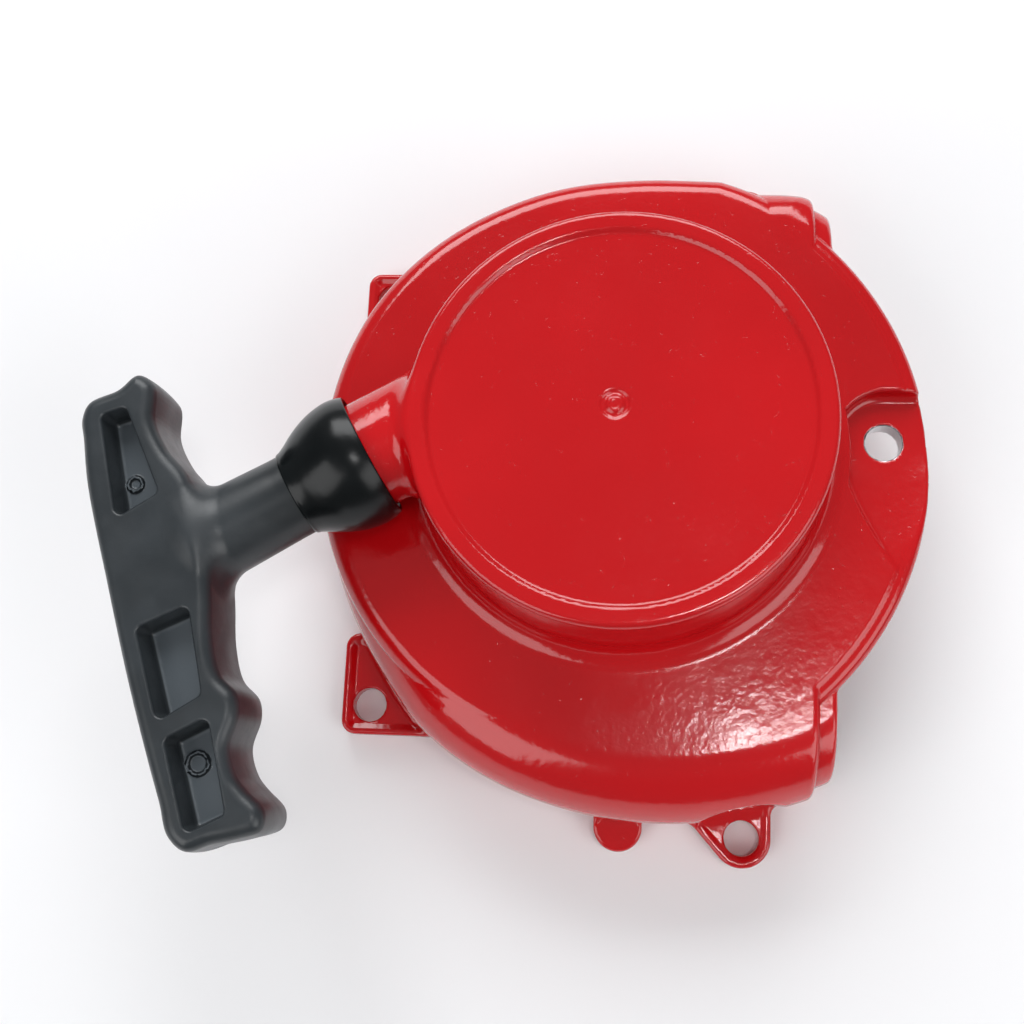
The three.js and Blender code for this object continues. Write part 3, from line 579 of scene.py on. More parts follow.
class Nodes:
    """Short names for making a material's nodes."""

    def __init__(self, name):
        self.material = bpy.data.materials.new(name)
        self.material.use_nodes = True
        self.tree = self.material.node_tree
        self.tree.nodes.clear()
        self.shader = self.tree.nodes.new("ShaderNodeBsdfPrincipled")
        output = self.tree.nodes.new("ShaderNodeOutputMaterial")
        self.tree.links.new(self.shader.outputs[0], output.inputs["Surface"])
        self.position = self.tree.nodes.new("ShaderNodeTexCoord").outputs["Object"]

    def put(self, socket, value):
        if isinstance(value, bpy.types.NodeSocket):
            self.tree.links.new(value, socket)
        else:
            socket.default_value = value

    def set(self, **values):
        for name, value in values.items():
            self.put(self.shader.inputs[name.replace("_", " ")], value)

    def math(self, operation, a, b=0.0, c=0.0, clamp=False):
        node = self.tree.nodes.new("ShaderNodeMath")
        node.operation = operation
        node.use_clamp = clamp
        for socket, value in zip(node.inputs, (a, b, c)):
            self.put(socket, value)
        return node.outputs[0]

    def noise(self, scale, detail=3.0, roughness=0.5, stretch=(1, 1, 1), turn=0.0):
        mapping = self.tree.nodes.new("ShaderNodeMapping")
        mapping.inputs["Scale"].default_value = stretch
        mapping.inputs["Rotation"].default_value = (0, 0, turn * DEG)
        self.put(mapping.inputs["Vector"], self.position)
        node = self.tree.nodes.new("ShaderNodeTexNoise")
        self.put(node.inputs["Vector"], mapping.outputs[0])
        for socket, setting in (("Scale", scale), ("Detail", detail), ("Roughness", roughness)):
            node.inputs[socket].default_value = setting
        return node.outputs["Fac"]

    def ramp(self, value, low, high, out_low=0.0, out_high=1.0):
        node = self.tree.nodes.new("ShaderNodeMapRange")
        node.interpolation_type = "SMOOTHSTEP"
        self.put(node.inputs["Value"], value)
        for socket, limit in (("From Min", low), ("From Max", high), ("To Min", out_low), ("To Max", out_high)):
            node.inputs[socket].default_value = limit
        return node.outputs["Result"]

    def mix(self, factor, a, b):
        node = self.tree.nodes.new("ShaderNodeMix")
        node.data_type = "RGBA"
        self.put(node.inputs["Factor"], factor)
        self.put(node.inputs["A"], a)
        self.put(node.inputs["B"], b)
        return node.outputs["Result"]

    def bump(self, height, distance, strength=1.0, normal=None):
        node = self.tree.nodes.new("ShaderNodeBump")
        node.inputs["Strength"].default_value = strength
        node.inputs["Distance"].default_value = distance
        self.put(node.inputs["Height"], height)
        if normal is not None:
            self.put(node.inputs["Normal"], normal)
        return node.outputs["Normal"]

    def axes(self):
        node = self.tree.nodes.new("ShaderNodeSeparateXYZ")
        self.put(node.inputs[0], self.position)
        return node.outputs[0], node.outputs[1], node.outputs[2]

    def length(self, a, b):
        return self.math("SQRT", self.math("ADD", self.math("POWER", a, 2.0), self.math("POWER", b, 2.0)))

    def along_handle(self, x, y):
        c, s = math.cos(HANDLE_BEARING), math.sin(HANDLE_BEARING)
        return self.math("ADD", self.math("MULTIPLY", x, c), self.math("MULTIPLY", y, s))

    def scratches(self, scale, turn, sharp, patch_scale, rare):
        """Thin, nearly straight lines in scattered patches, 1 on a line."""
        lines = self.noise(scale, 1.0, 0.4, (1, 0.045, 0.045), turn)
        near = self.math("ABSOLUTE", self.math("SUBTRACT", lines, 0.5))
        thin = self.ramp(near, 0.0, sharp, 1.0, 0.0)
        patch = self.ramp(self.noise(patch_scale, 2.0, 0.5, (1, 1, 1), turn + 20), rare, rare + 0.06)
        return self.math("MULTIPLY", thin, patch)


def colour(r, g, b):
    return (r, g, b, 1.0)


BORE_EDGE, FACE_EDGE = (0.00366, 0.00378), (0.00005, 0.00015)
POST_EDGE_RADIUS, POST_EDGE_Z = (0.0100, 0.0102), (0.0530, 0.0535)


def red_coat():
    """Red coat that leaves bare metal in the machined bore, on the mounting faces and on the post."""
    n = Nodes("red_coat")
    x, y, z = n.axes()
    cloud = n.noise(22, 3.0)
    base = n.mix(n.ramp(cloud, 0.3, 0.7), colour(0.49, 0.0026, 0.0050), colour(0.55, 0.0034, 0.0063))
    marks = n.math("ADD", n.scratches(260, 62, 0.006, 38, 0.70), n.scratches(310, -25, 0.006, 45, 0.72),
                   clamp=True)
    base = n.mix(n.math("MULTIPLY", marks, 0.08), base, colour(0.72, 0.25, 0.24))
    from_hole = n.length(n.math("SUBTRACT", x, BRIM_HOLE[0] * MM), n.math("SUBTRACT", y, BRIM_HOLE[1] * MM))
    ragged = n.math("MULTIPLY", n.math("SUBTRACT", n.noise(420, 2.0), 0.5), 0.0006)
    bore = n.ramp(n.math("ADD", from_hole, ragged), *BORE_EDGE, 1.0, 0.0)
    face = n.ramp(z, *FACE_EDGE, 1.0, 0.0)
    post = n.math("MULTIPLY", n.ramp(n.length(x, y), *POST_EDGE_RADIUS, 1.0, 0.0),
                  n.ramp(z, *POST_EDGE_Z, 1.0, 0.0))
    bare = n.math("MAXIMUM", n.math("MAXIMUM", bore, face), post)
    metal = n.mix(n.noise(300, 3.0, 0.6, (1, 1, 0.2)), colour(0.52, 0.53, 0.55), colour(0.78, 0.79, 0.80))
    n.set(Base_Color=n.mix(bare, base, metal), Metallic=bare)
    rough = n.math("ADD", n.ramp(n.noise(60, 4.0, 0.6), 0.3, 0.7, 0.11, 0.17), n.math("MULTIPLY", marks, 0.2))
    n.set(Roughness=n.math("ADD", rough, n.math("MULTIPLY", bare, 0.08), clamp=True))
    peel = n.math("ADD", n.noise(640, 2.0, 0.5), n.math("MULTIPLY", n.noise(260, 2.0, 0.5), 0.7))
    pits = n.ramp(n.noise(900, 2.0, 0.6), 0.66, 0.74)
    height = n.math("SUBTRACT", peel, n.math("MULTIPLY", pits, 0.35))
    n.set(Normal=n.bump(height, 0.00009, 0.5, n.bump(marks, 0.00004, 0.5)))
    n.shader.inputs["Coat Weight"].default_value = 0.2
    n.shader.inputs["Coat Roughness"].default_value = 0.06
    n.shader.inputs["Specular IOR Level"].default_value = 0.5
    return n.material


# z heights of the top pocket floors that get painted light, and the stretch along the handle where the stem
# gets painted shade
POCKET_FLOOR_LOW, POCKET_FLOOR_HIGH, STEM_SHADE = (0.0480, 0.0485), (0.0502, 0.0508), (0.056, 0.074)


def moulded(name, dark, light, rough_low, rough_high, grain, grain_depth, pockets=False, specular=0.5):
    """Moulded plastic or rubber. With pockets, the grip's upward-facing pocket floors on its top side get
    painted light, and its stem gets painted shade towards the cup.
    """
    n = Nodes(name)
    base = n.mix(n.ramp(n.noise(70, 4.0, 0.6), 0.35, 0.7), colour(*dark), colour(*light))
    marks = n.scratches(300, 40, 0.008, 40, 0.64)
    if pockets:
        x, y, z = n.axes()
        normal = n.tree.nodes.new("ShaderNodeSeparateXYZ")
        n.put(normal.inputs[0], n.tree.nodes.new("ShaderNodeTexCoord").outputs["Normal"])
        # painted light: the pocket floors that face up on the grip's top side are made three times lighter
        level = n.math("MULTIPLY", n.ramp(z, *POCKET_FLOOR_LOW), n.ramp(z, *POCKET_FLOOR_HIGH, 1.0, 0.0))
        floor = n.math("MULTIPLY", level, n.ramp(normal.outputs[2], 0.75, 0.95))
        base = n.mix(floor, base, colour(*[v * 3.0 for v in light]))
        # painted shade: the stem is darkened towards the cup
        base = n.mix(n.ramp(n.along_handle(x, y), *STEM_SHADE, 0.75, 0.0), base, colour(0.010, 0.012, 0.013))
    scuffed = colour(*[v * 3 + 0.02 for v in light])
    n.set(Base_Color=n.mix(n.math("MULTIPLY", marks, 0.35), base, scuffed))
    rough = n.ramp(n.noise(120, 4.0, 0.6), 0.3, 0.7, rough_low, rough_high)
    n.set(Roughness=n.math("ADD", rough, n.math("MULTIPLY", marks, 0.15), clamp=True))
    n.set(Normal=n.bump(n.noise(grain, 3.0, 0.6), grain_depth, 0.6))
    n.shader.inputs["Specular IOR Level"].default_value = specular
    return n.material


def metal(name, dark, light, rough_low, rough_high, stretch=(1, 1, 1), scale=160):
    n = Nodes(name)
    grain = n.noise(scale, 5.0, 0.65, stretch)
    n.set(Base_Color=n.mix(n.ramp(grain, 0.3, 0.7), colour(*dark), colour(*light)), Metallic=1.0)
    n.set(Roughness=n.ramp(n.noise(scale * 1.7, 4.0, 0.6, stretch), 0.3, 0.7, rough_low, rough_high))
    n.set(Normal=n.bump(grain, 0.00004, 0.5))
    return n.material


BRAID_PITCH, BRAID_STRANDS = 0.0028, 8


def braid(name, from_uv):
    """Braided cord, patterned along it and round it: by its UVs, or by the place along the handle's axis."""
    n = Nodes(name)
    if from_uv:
        uv = n.tree.nodes.new("ShaderNodeUVMap")
        uv.uv_map = "cord"
        parts = n.tree.nodes.new("ShaderNodeSeparateXYZ")
        n.put(parts.inputs[0], uv.outputs[0])
        lengthwise, turn = parts.outputs[0], parts.outputs[1]
    else:
        x, y, z = n.axes()
        c, s = math.cos(HANDLE_BEARING), math.sin(HANDLE_BEARING)
        lengthwise = n.along_handle(x, y)
        across = n.math("ADD", n.math("MULTIPLY", x, -s), n.math("MULTIPLY", y, c))
        across = n.math("ADD", across, HANDLE_OFFSET * MM)
        turn = n.math("DIVIDE", n.math("ARCTAN2", n.math("SUBTRACT", z, ROPE_Z * MM), across), 2 * math.pi)
    run = n.math("MULTIPLY", lengthwise, math.pi / BRAID_PITCH)
    round_it = n.math("MULTIPLY", turn, math.pi * BRAID_STRANDS)
    one = n.math("SINE", n.math("ADD", run, round_it))
    two = n.math("SINE", n.math("SUBTRACT", run, round_it))
    height = n.math("SQRT", n.math("ABSOLUTE", n.math("MULTIPLY", one, two)))
    diagonal = n.math("ADD", n.math("MULTIPLY", run, 0.5), n.math("MULTIPLY", round_it, 0.5))
    fleck = n.ramp(n.math("SINE", diagonal), 0.86, 0.93)
    # painted shade: the braid's colour darkens with its height, so the gaps between the strands are dark
    base = n.mix(height, colour(0.20, 0.19, 0.17), colour(0.72, 0.70, 0.64))
    n.set(Base_Color=n.mix(n.math("MULTIPLY", fleck, height), base, colour(0.03, 0.05, 0.12)))
    fibres = n.math("MULTIPLY", n.noise(3000, 2.0), 0.25)
    n.set(Roughness=n.ramp(n.noise(900, 2.0), 0.3, 0.7, 0.62, 0.8))
    n.set(Normal=n.bump(n.math("ADD", height, fibres), 0.00035, 0.8))
    n.shader.inputs["Sheen Weight"].default_value = 0.25
    return n.material


RED = red_coat()
GRIP = moulded("grip_plastic", (0.023, 0.0275, 0.031), (0.032, 0.038, 0.043), 0.30, 0.42, 1400, 0.00003,
               pockets=True)
RUBBER = moulded("cup_rubber", (0.002, 0.003, 0.0034), (0.0035, 0.005, 0.0055), 0.20, 0.27, 900, 0.00002,
                 specular=0.3)
NYLON = moulded("reel_nylon", (0.016, 0.018, 0.020), (0.030, 0.032, 0.035), 0.42, 0.55, 1000, 0.00003)
STEEL = metal("steel", (0.42, 0.43, 0.45), (0.62, 0.63, 0.64), 0.22, 0.36, (1, 1, 5))
SPRING = metal("spring_steel", (0.16, 0.18, 0.23), (0.34, 0.36, 0.40), 0.22, 0.36, (1, 1, 6))
ZINC = metal("zinc_plate", (0.52, 0.50, 0.42), (0.70, 0.70, 0.64), 0.26, 0.40, (1, 1, 1), 220)
BRONZE = metal("bronze", (0.42, 0.25, 0.10), (0.62, 0.40, 0.18), 0.34, 0.5, (1, 1, 3))
ROPE = braid("rope", True)
ROPE_RUN = braid("rope_run", False)

# ---- pieces of the cover and the handle -----------------------------------------------------

IDENTITY = Matrix.Identity(4)
HANDLE_PLACE = Matrix.Rotation(HANDLE_BEARING, 4, "Z") @ Matrix.Translation((0, -HANDLE_OFFSET, ROPE_Z))

field_object("cover_casting", housing_field, (-62, -82, -1.5), (61, 71, 60), 0.55, 190000,
             IDENTITY, "cover", RED, ("housing",))
field_object("grip_moulding", grip_field, (51, -38, -10.5), (107, 56, 10.5), 0.42, 120000,
             HANDLE_PLACE, "handle", GRIP, ("handle_grip",))


def lathe(name, profile, body, material, replaced, place=IDENTITY, segments=128):
    """Turned piece: the profile is a closed list of (radius, z), turned about Z, then placed."""
    profile = np.asarray(profile, float)
    n = len(profile)
    turn = np.arange(segments) * 2 * math.pi / segments
    vertices = np.stack([np.outer(np.cos(turn), profile[:, 0]), np.outer(np.sin(turn), profile[:, 0]),
                         np.tile(profile[:, 1], (segments, 1))], -1).reshape(-1, 3)
    here = np.arange(segments)[:, None] * n + np.arange(n)[None]
    after = np.roll(here, -1, 0)
    faces = np.stack([here, after, np.roll(after, -1, 1), np.roll(here, -1, 1)], -1).reshape(-1, 4)
    if signed_area(profile) < 0:
        faces = faces[:, ::-1]
    turn3, shift = np.array(place.to_3x3()), np.array(place.translation)
    obj = new_object(name, vertices @ turn3.T + shift, faces, None, material)
    obj.data.set_sharp_from_angle(angle=35 * DEG)
    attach(obj, body)
    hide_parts(*replaced)


def soften(profile, radius=0.2, steps=3):
    """A closed profile with its corners rounded."""
    pts = [np.array(p, float) for p in profile]
    result = []
    for i, p in enumerate(pts):
        a, b = pts[i - 1], pts[(i + 1) % len(pts)]
        cut = min(radius, np.linalg.norm(a - p) * 0.45, np.linalg.norm(b - p) * 0.45)
        start = p + (a - p) / np.linalg.norm(a - p) * cut
        end = p + (b - p) / np.linalg.norm(b - p) * cut
        for t in np.linspace(0, 1, steps + 1):
            result.append((1 - t) ** 2 * start + 2 * t * (1 - t) * p + t * t * end)
    return [tuple(p) for p in result]


def ring(inner, outer, low, high, radius=0.2):
    return soften([(inner, low), (outer, low), (outer, high), (inner, high)], radius)


ALONG_ROPE = HANDLE_PLACE @ Matrix.Rotation(90 * DEG, 4, "Y")

# radius and distance along the rope, up the cup's outside from the stem and back down its inside
cup_profile = closed_spline([
    (5.6, 57.6), (7.4, 58.1), (8.05, 57.9), (8.3, 57.2), (8.9, 56.0), (9.9, 54.3), (11.0, 52.1),
    (11.9, 49.6), (12.35, 47.4), (12.5, 45.6), (12.35, 44.1), (12.05, 42.9), (11.8, 42.3),
    (11.5, 42.25), (11.3, 42.7), (11.2, 45.0), (11.15, 48.0), (10.9, 50.6), (10.5, 51.4),
    (8.5, 51.5), (6.2, 51.5), (5.6, 51.9), (5.5, 54.0),
], 5)
lathe("grip_cup", cup_profile, "handle", RUBBER, ("handle_cup",), ALONG_ROPE, 160)
lathe("grip_washer", ring(2.3, 5, 84.3, 85.3), "handle", STEEL, ("handle_washer",), ALONG_ROPE)
eyelet_profile = [(2.9, 44), (4.7, 44), (4.7, 50.8), (2.9, 50.8), (2.4, 49.4), (2.4, 46.4)]
lathe("outlet_eyelet", soften(eyelet_profile, 0.5, 4), "cover", STEEL, ("rope_guide_bush",),
      ALONG_ROPE)


def tube(points, radius, sides, closed):
    """Vertices and quads of a round tube along the points."""
    pts = np.asarray(points, float)
    n = len(pts)
    ahead = np.roll(pts, -1, 0) - np.roll(pts, 1, 0)
    if not closed:
        ahead[0], ahead[-1] = pts[1] - pts[0], pts[-1] - pts[-2]
    ahead /= np.linalg.norm(ahead, axis=1)[:, None]
    side = np.cross(ahead[0], (0, 0, 1) if abs(ahead[0][2]) < 0.9 else (1, 0, 0))
    side /= np.linalg.norm(side)
    turn = np.arange(sides) * 2 * math.pi / sides
    vertices = []
    for i in range(n):
        side = side - ahead[i] * (side @ ahead[i])
        side /= np.linalg.norm(side)
        up = np.cross(ahead[i], side)
        vertices.append(pts[i] + radius * (np.outer(np.cos(turn), side) + np.outer(np.sin(turn), up)))
    here = np.arange(n)[:, None] * sides + np.arange(sides)[None]
    if closed:
        nxt = np.roll(here, -1, 0)
    else:
        here, nxt = here[:-1], here[1:]
    faces = np.stack([here, np.roll(here, -1, 1), np.roll(nxt, -1, 1), nxt], -1).reshape(-1, 4)
    return np.concatenate(vertices), faces


def cord_object(name, points, radius, body, material, replaced, closed=False, sides=20, place=IDENTITY):
    """Cord along the points, with a UV layer that holds its length in metres and the turn round it."""
    vertices, faces = tube(points, radius, sides, closed)
    turn3, shift = np.array(place.to_3x3()), np.array(place.translation)
    vertices = vertices @ turn3.T + shift
    faces = [list(map(int, f)) for f in faces]
    if not closed:
        last = len(vertices) - sides
        faces += [list(range(sides))[::-1], list(range(last, last + sides))]
    obj = new_object(name, vertices, faces, None, material)
    mesh = obj.data
    layer = mesh.uv_layers.new(name="cord")
    pts = np.asarray(points, float)
    gaps = np.linalg.norm(np.diff(pts, axis=0), axis=1)
    lengths = np.concatenate(([0], np.cumsum(gaps), [np.sum(gaps) + np.linalg.norm(pts[0] - pts[-1])])) * MM
    for polygon in mesh.polygons:
        rings = [mesh.loops[k].vertex_index // sides for k in polygon.loop_indices]
        spots = [mesh.loops[k].vertex_index % sides for k in polygon.loop_indices]
        wraps = max(spots) - min(spots) > 1
        around = closed and max(rings) - min(rings) > 1
        for k, ring, spot in zip(polygon.loop_indices, rings, spots):
            ring = len(pts) if around and ring == 0 else ring
            spot = sides if wraps and spot == 0 else spot
            layer.data[k].uv = (lengths[ring], spot / sides)
    if body:
        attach(obj, body)
    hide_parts(*replaced)
    return obj


def trefoil(size, count=90):
    t = np.arange(count) * 2 * math.pi / count
    x, y, z = -np.sin(3 * t) * 0.9, np.sin(t) + 2 * np.sin(2 * t), np.cos(t) - 2 * np.cos(2 * t)
    return np.stack([x, y, z], 1) * size


# the rope runs straight through the neck, then leans to meet the winding's outer layer as a tangent
WINDING_RADII = (26.95, 30.4)
ROPE_START, bend = 84.4, 45.0
far = math.hypot(bend, HANDLE_OFFSET)
lean = math.asin(WINDING_RADII[1] / far) - math.atan2(HANDLE_OFFSET, bend)
clear = math.sqrt((WINDING_RADII[1] + 2 * ROPE_RADIUS + 0.3) ** 2 - WINDING_RADII[1] ** 2)
run = math.sqrt(far ** 2 - WINDING_RADII[1] ** 2) - clear - 0.3
rope_path = [(ROPE_START - i * (ROPE_START - bend - 2) / 26, 0, 0) for i in range(27)]
rope_path += [(bend - (run - 1) * math.cos(lean) * t - 1, -(run - 1) * math.sin(lean) * t - 0.2, 0)
              for t in np.linspace(0.06, 1, 12)]
rope = cord_object("rope_run", rope_path, ROPE_RADIUS, None, ROPE_RUN, ("pull_rope",), place=HANDLE_PLACE,
                   sides=24)
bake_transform(rope)
cord_object("grip_knot", trefoil(0.95) + np.array((89.0, 0, 0)), 1.25, "handle", ROPE, ("handle_knot",),
            True, 14, HANDLE_PLACE)

# ---- reel and what turns with it ------------------------------------------------------------

REEL_RADIUS, REEL_Z, GROOVE_HALF_WIDTH, CORE_RADIUS = 33.0, (41.0, 52.0), 4.0, 25.0
CAVITY_RADIUS, CAVITY_Z, HUB_RADIUS, HUB_BOTTOM_Z, BUSH_OUTER = 22.6, 43.4, 11.4, 34.9, 8.0
PAWL_RING, KNOT_RING, KNOT_ANGLE = 18.0, 30.6, 300 * DEG
PIN_HOLE, POCKET_HOLE, PIN_HOLE_TOP_Z = 2.3, 3.0, 45.0
RIBS, RIB_RING = 12, (24.4, 31.6)


def reel_field(p):
    x, y, z = p[:, 0], p[:, 1], p[:, 2]
    r = np.hypot(x, y)
    drum = rounded(rounded(r - REEL_RADIUS, REEL_Z[0] - z, 0.6), z - REEL_Z[1], 0.6)
    groove = rounded(CORE_RADIUS - r, np.abs(z - ROPE_Z) - GROOVE_HALF_WIDTH - (r - CORE_RADIUS) * 0.06, 0.8)
    reel = rounded(drum, -groove, 0.5)
    hub = rounded(r - HUB_RADIUS, np.maximum(HUB_BOTTOM_Z - z, z - REEL_Z[0] - 1), 0.5)
    reel = fillet(reel, hub, 1.2)
    cavity = rounded(r - CAVITY_RADIUS, CAVITY_Z - z, 0.8)
    reel = rounded(reel, -cavity, 0.4)
    # ribs under the flange between the hub and the rim
    angle = np.arctan2(y, x)
    step = 2 * math.pi / RIBS
    rib_angle = (angle + step / 2) % step - step / 2
    rib = np.maximum(np.abs(rib_angle * r) - 0.55, np.maximum(RIB_RING[0] - r, r - RIB_RING[1]))
    hollow = np.maximum(np.maximum(24.6 - r, r - 31.4), z - REEL_Z[0] - 0.7)
    reel = np.maximum(reel, -rounded(hollow, -rib, 0.3))
    reel = rounded(reel, -(r - BUSH_OUTER - 0.3), 0.3)
    # the pawl pins' holes, four plain ones between them, and the one under the rope's knot
    for turn, radius, edge in ((0, PIN_HOLE, 0.2), (180, PIN_HOLE, 0.2), (60, POCKET_HOLE, 0.3),
                               (120, POCKET_HOLE, 0.3), (240, POCKET_HOLE, 0.3), (300, POCKET_HOLE, 0.3)):
        hole = np.hypot(x - PAWL_RING * math.cos(turn * DEG), y - PAWL_RING * math.sin(turn * DEG)) - radius
        reel = rounded(reel, -(np.maximum(hole, z - PIN_HOLE_TOP_Z)), edge)
    from_knot = np.hypot(x - KNOT_RING * math.cos(KNOT_ANGLE), y - KNOT_RING * math.sin(KNOT_ANGLE))
    return np.maximum(reel, -np.maximum(from_knot - ROPE_RADIUS, z - 43))


field_object("rope_reel_body", reel_field, (-34, -34, 34), (34, 34, 53), 0.45, 110000,
             IDENTITY, "rope_reel", NYLON, ("reel",))
lathe("reel_bearing", ring(6.2, BUSH_OUTER, 35.3, CAVITY_Z), "rope_reel", BRONZE, ("reel_bush",))
turns = []
LAYER_POINTS, COIL_RADIUS, COIL_HALF_PITCH, CLIMB = 240, 1.86, 1.88, 0.06
for layer, radius in enumerate(WINDING_RADII):
    for k in range(LAYER_POINTS + 1):
        share = k / LAYER_POINTS
        angle = share * 4 * math.pi + KNOT_ANGLE
        slide = np.clip((share - 0.42) / 0.16, 0, 1)
        height = (-1 if layer == 0 else 1) * (1 - 2 * slide ** 2 * (3 - 2 * slide)) * COIL_HALF_PITCH
        lift = radius
        if layer == 1 and share <= CLIMB:
            inner = WINDING_RADII[0]
            lift = inner + (radius - inner) * math.sin(share / CLIMB * math.pi / 2)
        turns.append((lift * math.cos(angle), lift * math.sin(angle), ROPE_Z + height))
    if layer == 0:
        turns.pop()
cord_object("rope_coils", turns, COIL_RADIUS, "rope_reel", ROPE, ("rope_winding",), sides=16)
knot_at = np.array((KNOT_RING * math.cos(KNOT_ANGLE), KNOT_RING * math.sin(KNOT_ANGLE), 38.1))
cord_object("reel_end_knot", trefoil(0.56, 72)[:, [1, 2, 0]] + knot_at, 0.85, "rope_reel", ROPE,
            ("reel_knot",), True, 12)

# spiral spring strip, with its inner end in the post's slot
SPRING_INNER, SPRING_OUTER, SPRING_TURNS, SPRING_POINTS, STRIP = 11.2, 20.8, 5, 720, 0.8
strip = [(7.9, -0.35), (9.0, -0.35), (10.3, -0.30), (11.0, 0.1)]
for k in range(8, SPRING_POINTS + 1):
    angle = k / SPRING_POINTS * SPRING_TURNS * 2 * math.pi
    radius = SPRING_INNER + (SPRING_OUTER - SPRING_INNER) * k / SPRING_POINTS + STRIP / 2
    strip.append((radius * math.cos(angle), radius * math.sin(angle)))
strip = np.array(strip)
ahead = np.gradient(strip, axis=0)
ahead /= np.linalg.norm(ahead, axis=1)[:, None]
side = np.stack([ahead[:, 1], -ahead[:, 0]], 1)
section = [(-0.36, 44.4), (-0.26, 44.3), (0.26, 44.3), (0.36, 44.4),
           (0.36, 50.7), (0.26, 50.8), (-0.26, 50.8), (-0.36, 50.7)]
spring_vertices = np.concatenate([
    np.concatenate([strip[i] + side[i] * w, [h]])[None] for i in range(len(strip)) for w, h in section])
count = len(section)
here = np.arange(len(strip) - 1)[:, None] * count + np.arange(count)[None]
beside = np.roll(here, -1, 1)
spring_faces = np.stack([here, beside, beside + count, here + count], -1).reshape(-1, 4)
spring_faces = [list(map(int, f[::-1])) for f in spring_faces]
spring_faces += [list(range(count)), list(range(len(spring_vertices) - count, len(spring_vertices)))[::-1]]
spring = new_object("return_spring", spring_vertices, spring_faces, "cover", SPRING,
                    ("recoil_spring",))
spring.data.set_sharp_from_angle(angle=30 * DEG)

lathe("spring_lid", ring(10.1, 22.3, 51.3, 52, 0.15), "rope_reel", ZINC, ("spring_cover",))

# ---- pawls, cam plate and the centre screw --------------------------------------------------

PAWL_REST_ANGLE, PAWL_SWING, PLATE_TURN, PAWL_EYE, PAWL_MID_Z, PAWL_BORE = 105.0, -45.0, -30.0, 4.3, 37.5, 2.3
PAWL_OUTLINE = [(0, -4.2), (10.5, -4.2), (14.3, -2.2), (13.9, 2.6), (4, 3.8), (0, 4.2)]
PEG_REACH, PEG_RADIUS, PLATE_Z, PLATE_RADIUS, POST_CLEAR = 7.0, 1.5, (31.6, 33.4), 26.0, 6.3


def pawl_field(p):
    x, y, z = p[:, 0], p[:, 1], p[:, 2]
    plan = np.minimum(np.hypot(x, y) - PAWL_EYE, polygon_distance(x, y, PAWL_OUTLINE, 0.5))
    body = rounded(plan, np.abs(z - PAWL_MID_Z) - 2.0, 0.35)
    body = rounded(body, -(np.hypot(x, y) - PAWL_BORE), 0.25)
    peg = rounded(np.hypot(x - PEG_REACH, y) - PEG_RADIUS, np.maximum(31.0 - z, z - 37), 0.3)
    return fillet(body, peg, 0.4)


def peg_in_plate(share):
    """The pawl's peg seen from the cam plate, at a share of the whole swing."""
    swing = (PAWL_REST_ANGLE + PAWL_SWING * share) * DEG
    x, y = PAWL_RING + PEG_REACH * math.cos(swing), PEG_REACH * math.sin(swing)
    back = -PLATE_TURN * share * DEG
    return x * math.cos(back) - y * math.sin(back), x * math.sin(back) + y * math.cos(back)


slot_points = [peg_in_plate(i / 6) for i in range(7)]


def segment_distance(x, y, a, b):
    ex, ey = b[0] - a[0], b[1] - a[1]
    t = np.clip(((x - a[0]) * ex + (y - a[1]) * ey) / (ex * ex + ey * ey), 0, 1)
    return np.hypot(x - a[0] - ex * t, y - a[1] - ey * t)


def plate_field(p):
    x, y, z = p[:, 0], p[:, 1], p[:, 2]
    r = np.hypot(x, y)
    plate = rounded(r - PLATE_RADIUS, np.abs(z - sum(PLATE_Z) / 2) - 0.9, 0.3)
    for sign in (1, -1):
        slot = np.minimum.reduce([segment_distance(sign * x, sign * y, a, b)
                                  for a, b in zip(slot_points, slot_points[1:])]) - PEG_RADIUS - 0.7
        plate = rounded(plate, -slot, 0.25)
        at = (17 * math.cos(100 * DEG) * sign, 17 * math.sin(100 * DEG) * sign)
        plate = rounded(plate, -(np.hypot(x - at[0], y - at[1]) - 4), 0.25)
    return rounded(plate, -(r - POST_CLEAR), 0.25)


def screw_field(p):
    x, y, z = p[:, 0], p[:, 1], p[:, 2]
    r = np.hypot(x, y)
    flats = [np.abs(x * math.cos(a) + y * math.sin(a)) for a in (0, math.pi / 3, 2 * math.pi / 3)]
    hexagon = np.maximum.reduce(flats) - 4.2
    head = np.maximum(hexagon, np.maximum(z - 28.6, 25 - z))
    head = np.maximum(head, (r - 4.55 - (z - 25) * 1.2) * 0.64)
    flange = rounded(r - 4.9, np.abs(z - 28.1) - 0.5, 0.2)
    pitch = 0.8
    thread = 0.16 * np.sin((z / pitch + np.arctan2(y, x) / (2 * math.pi)) * 2 * math.pi) * (z > 32)
    shaft = np.maximum(r - 2.2 - thread, np.maximum(28 - z, z - 49.5))
    dish = np.maximum(r - 2.6, z - 25.5)
    return np.minimum(rounded(np.minimum(head, flange), -dish, 0.3), shaft)


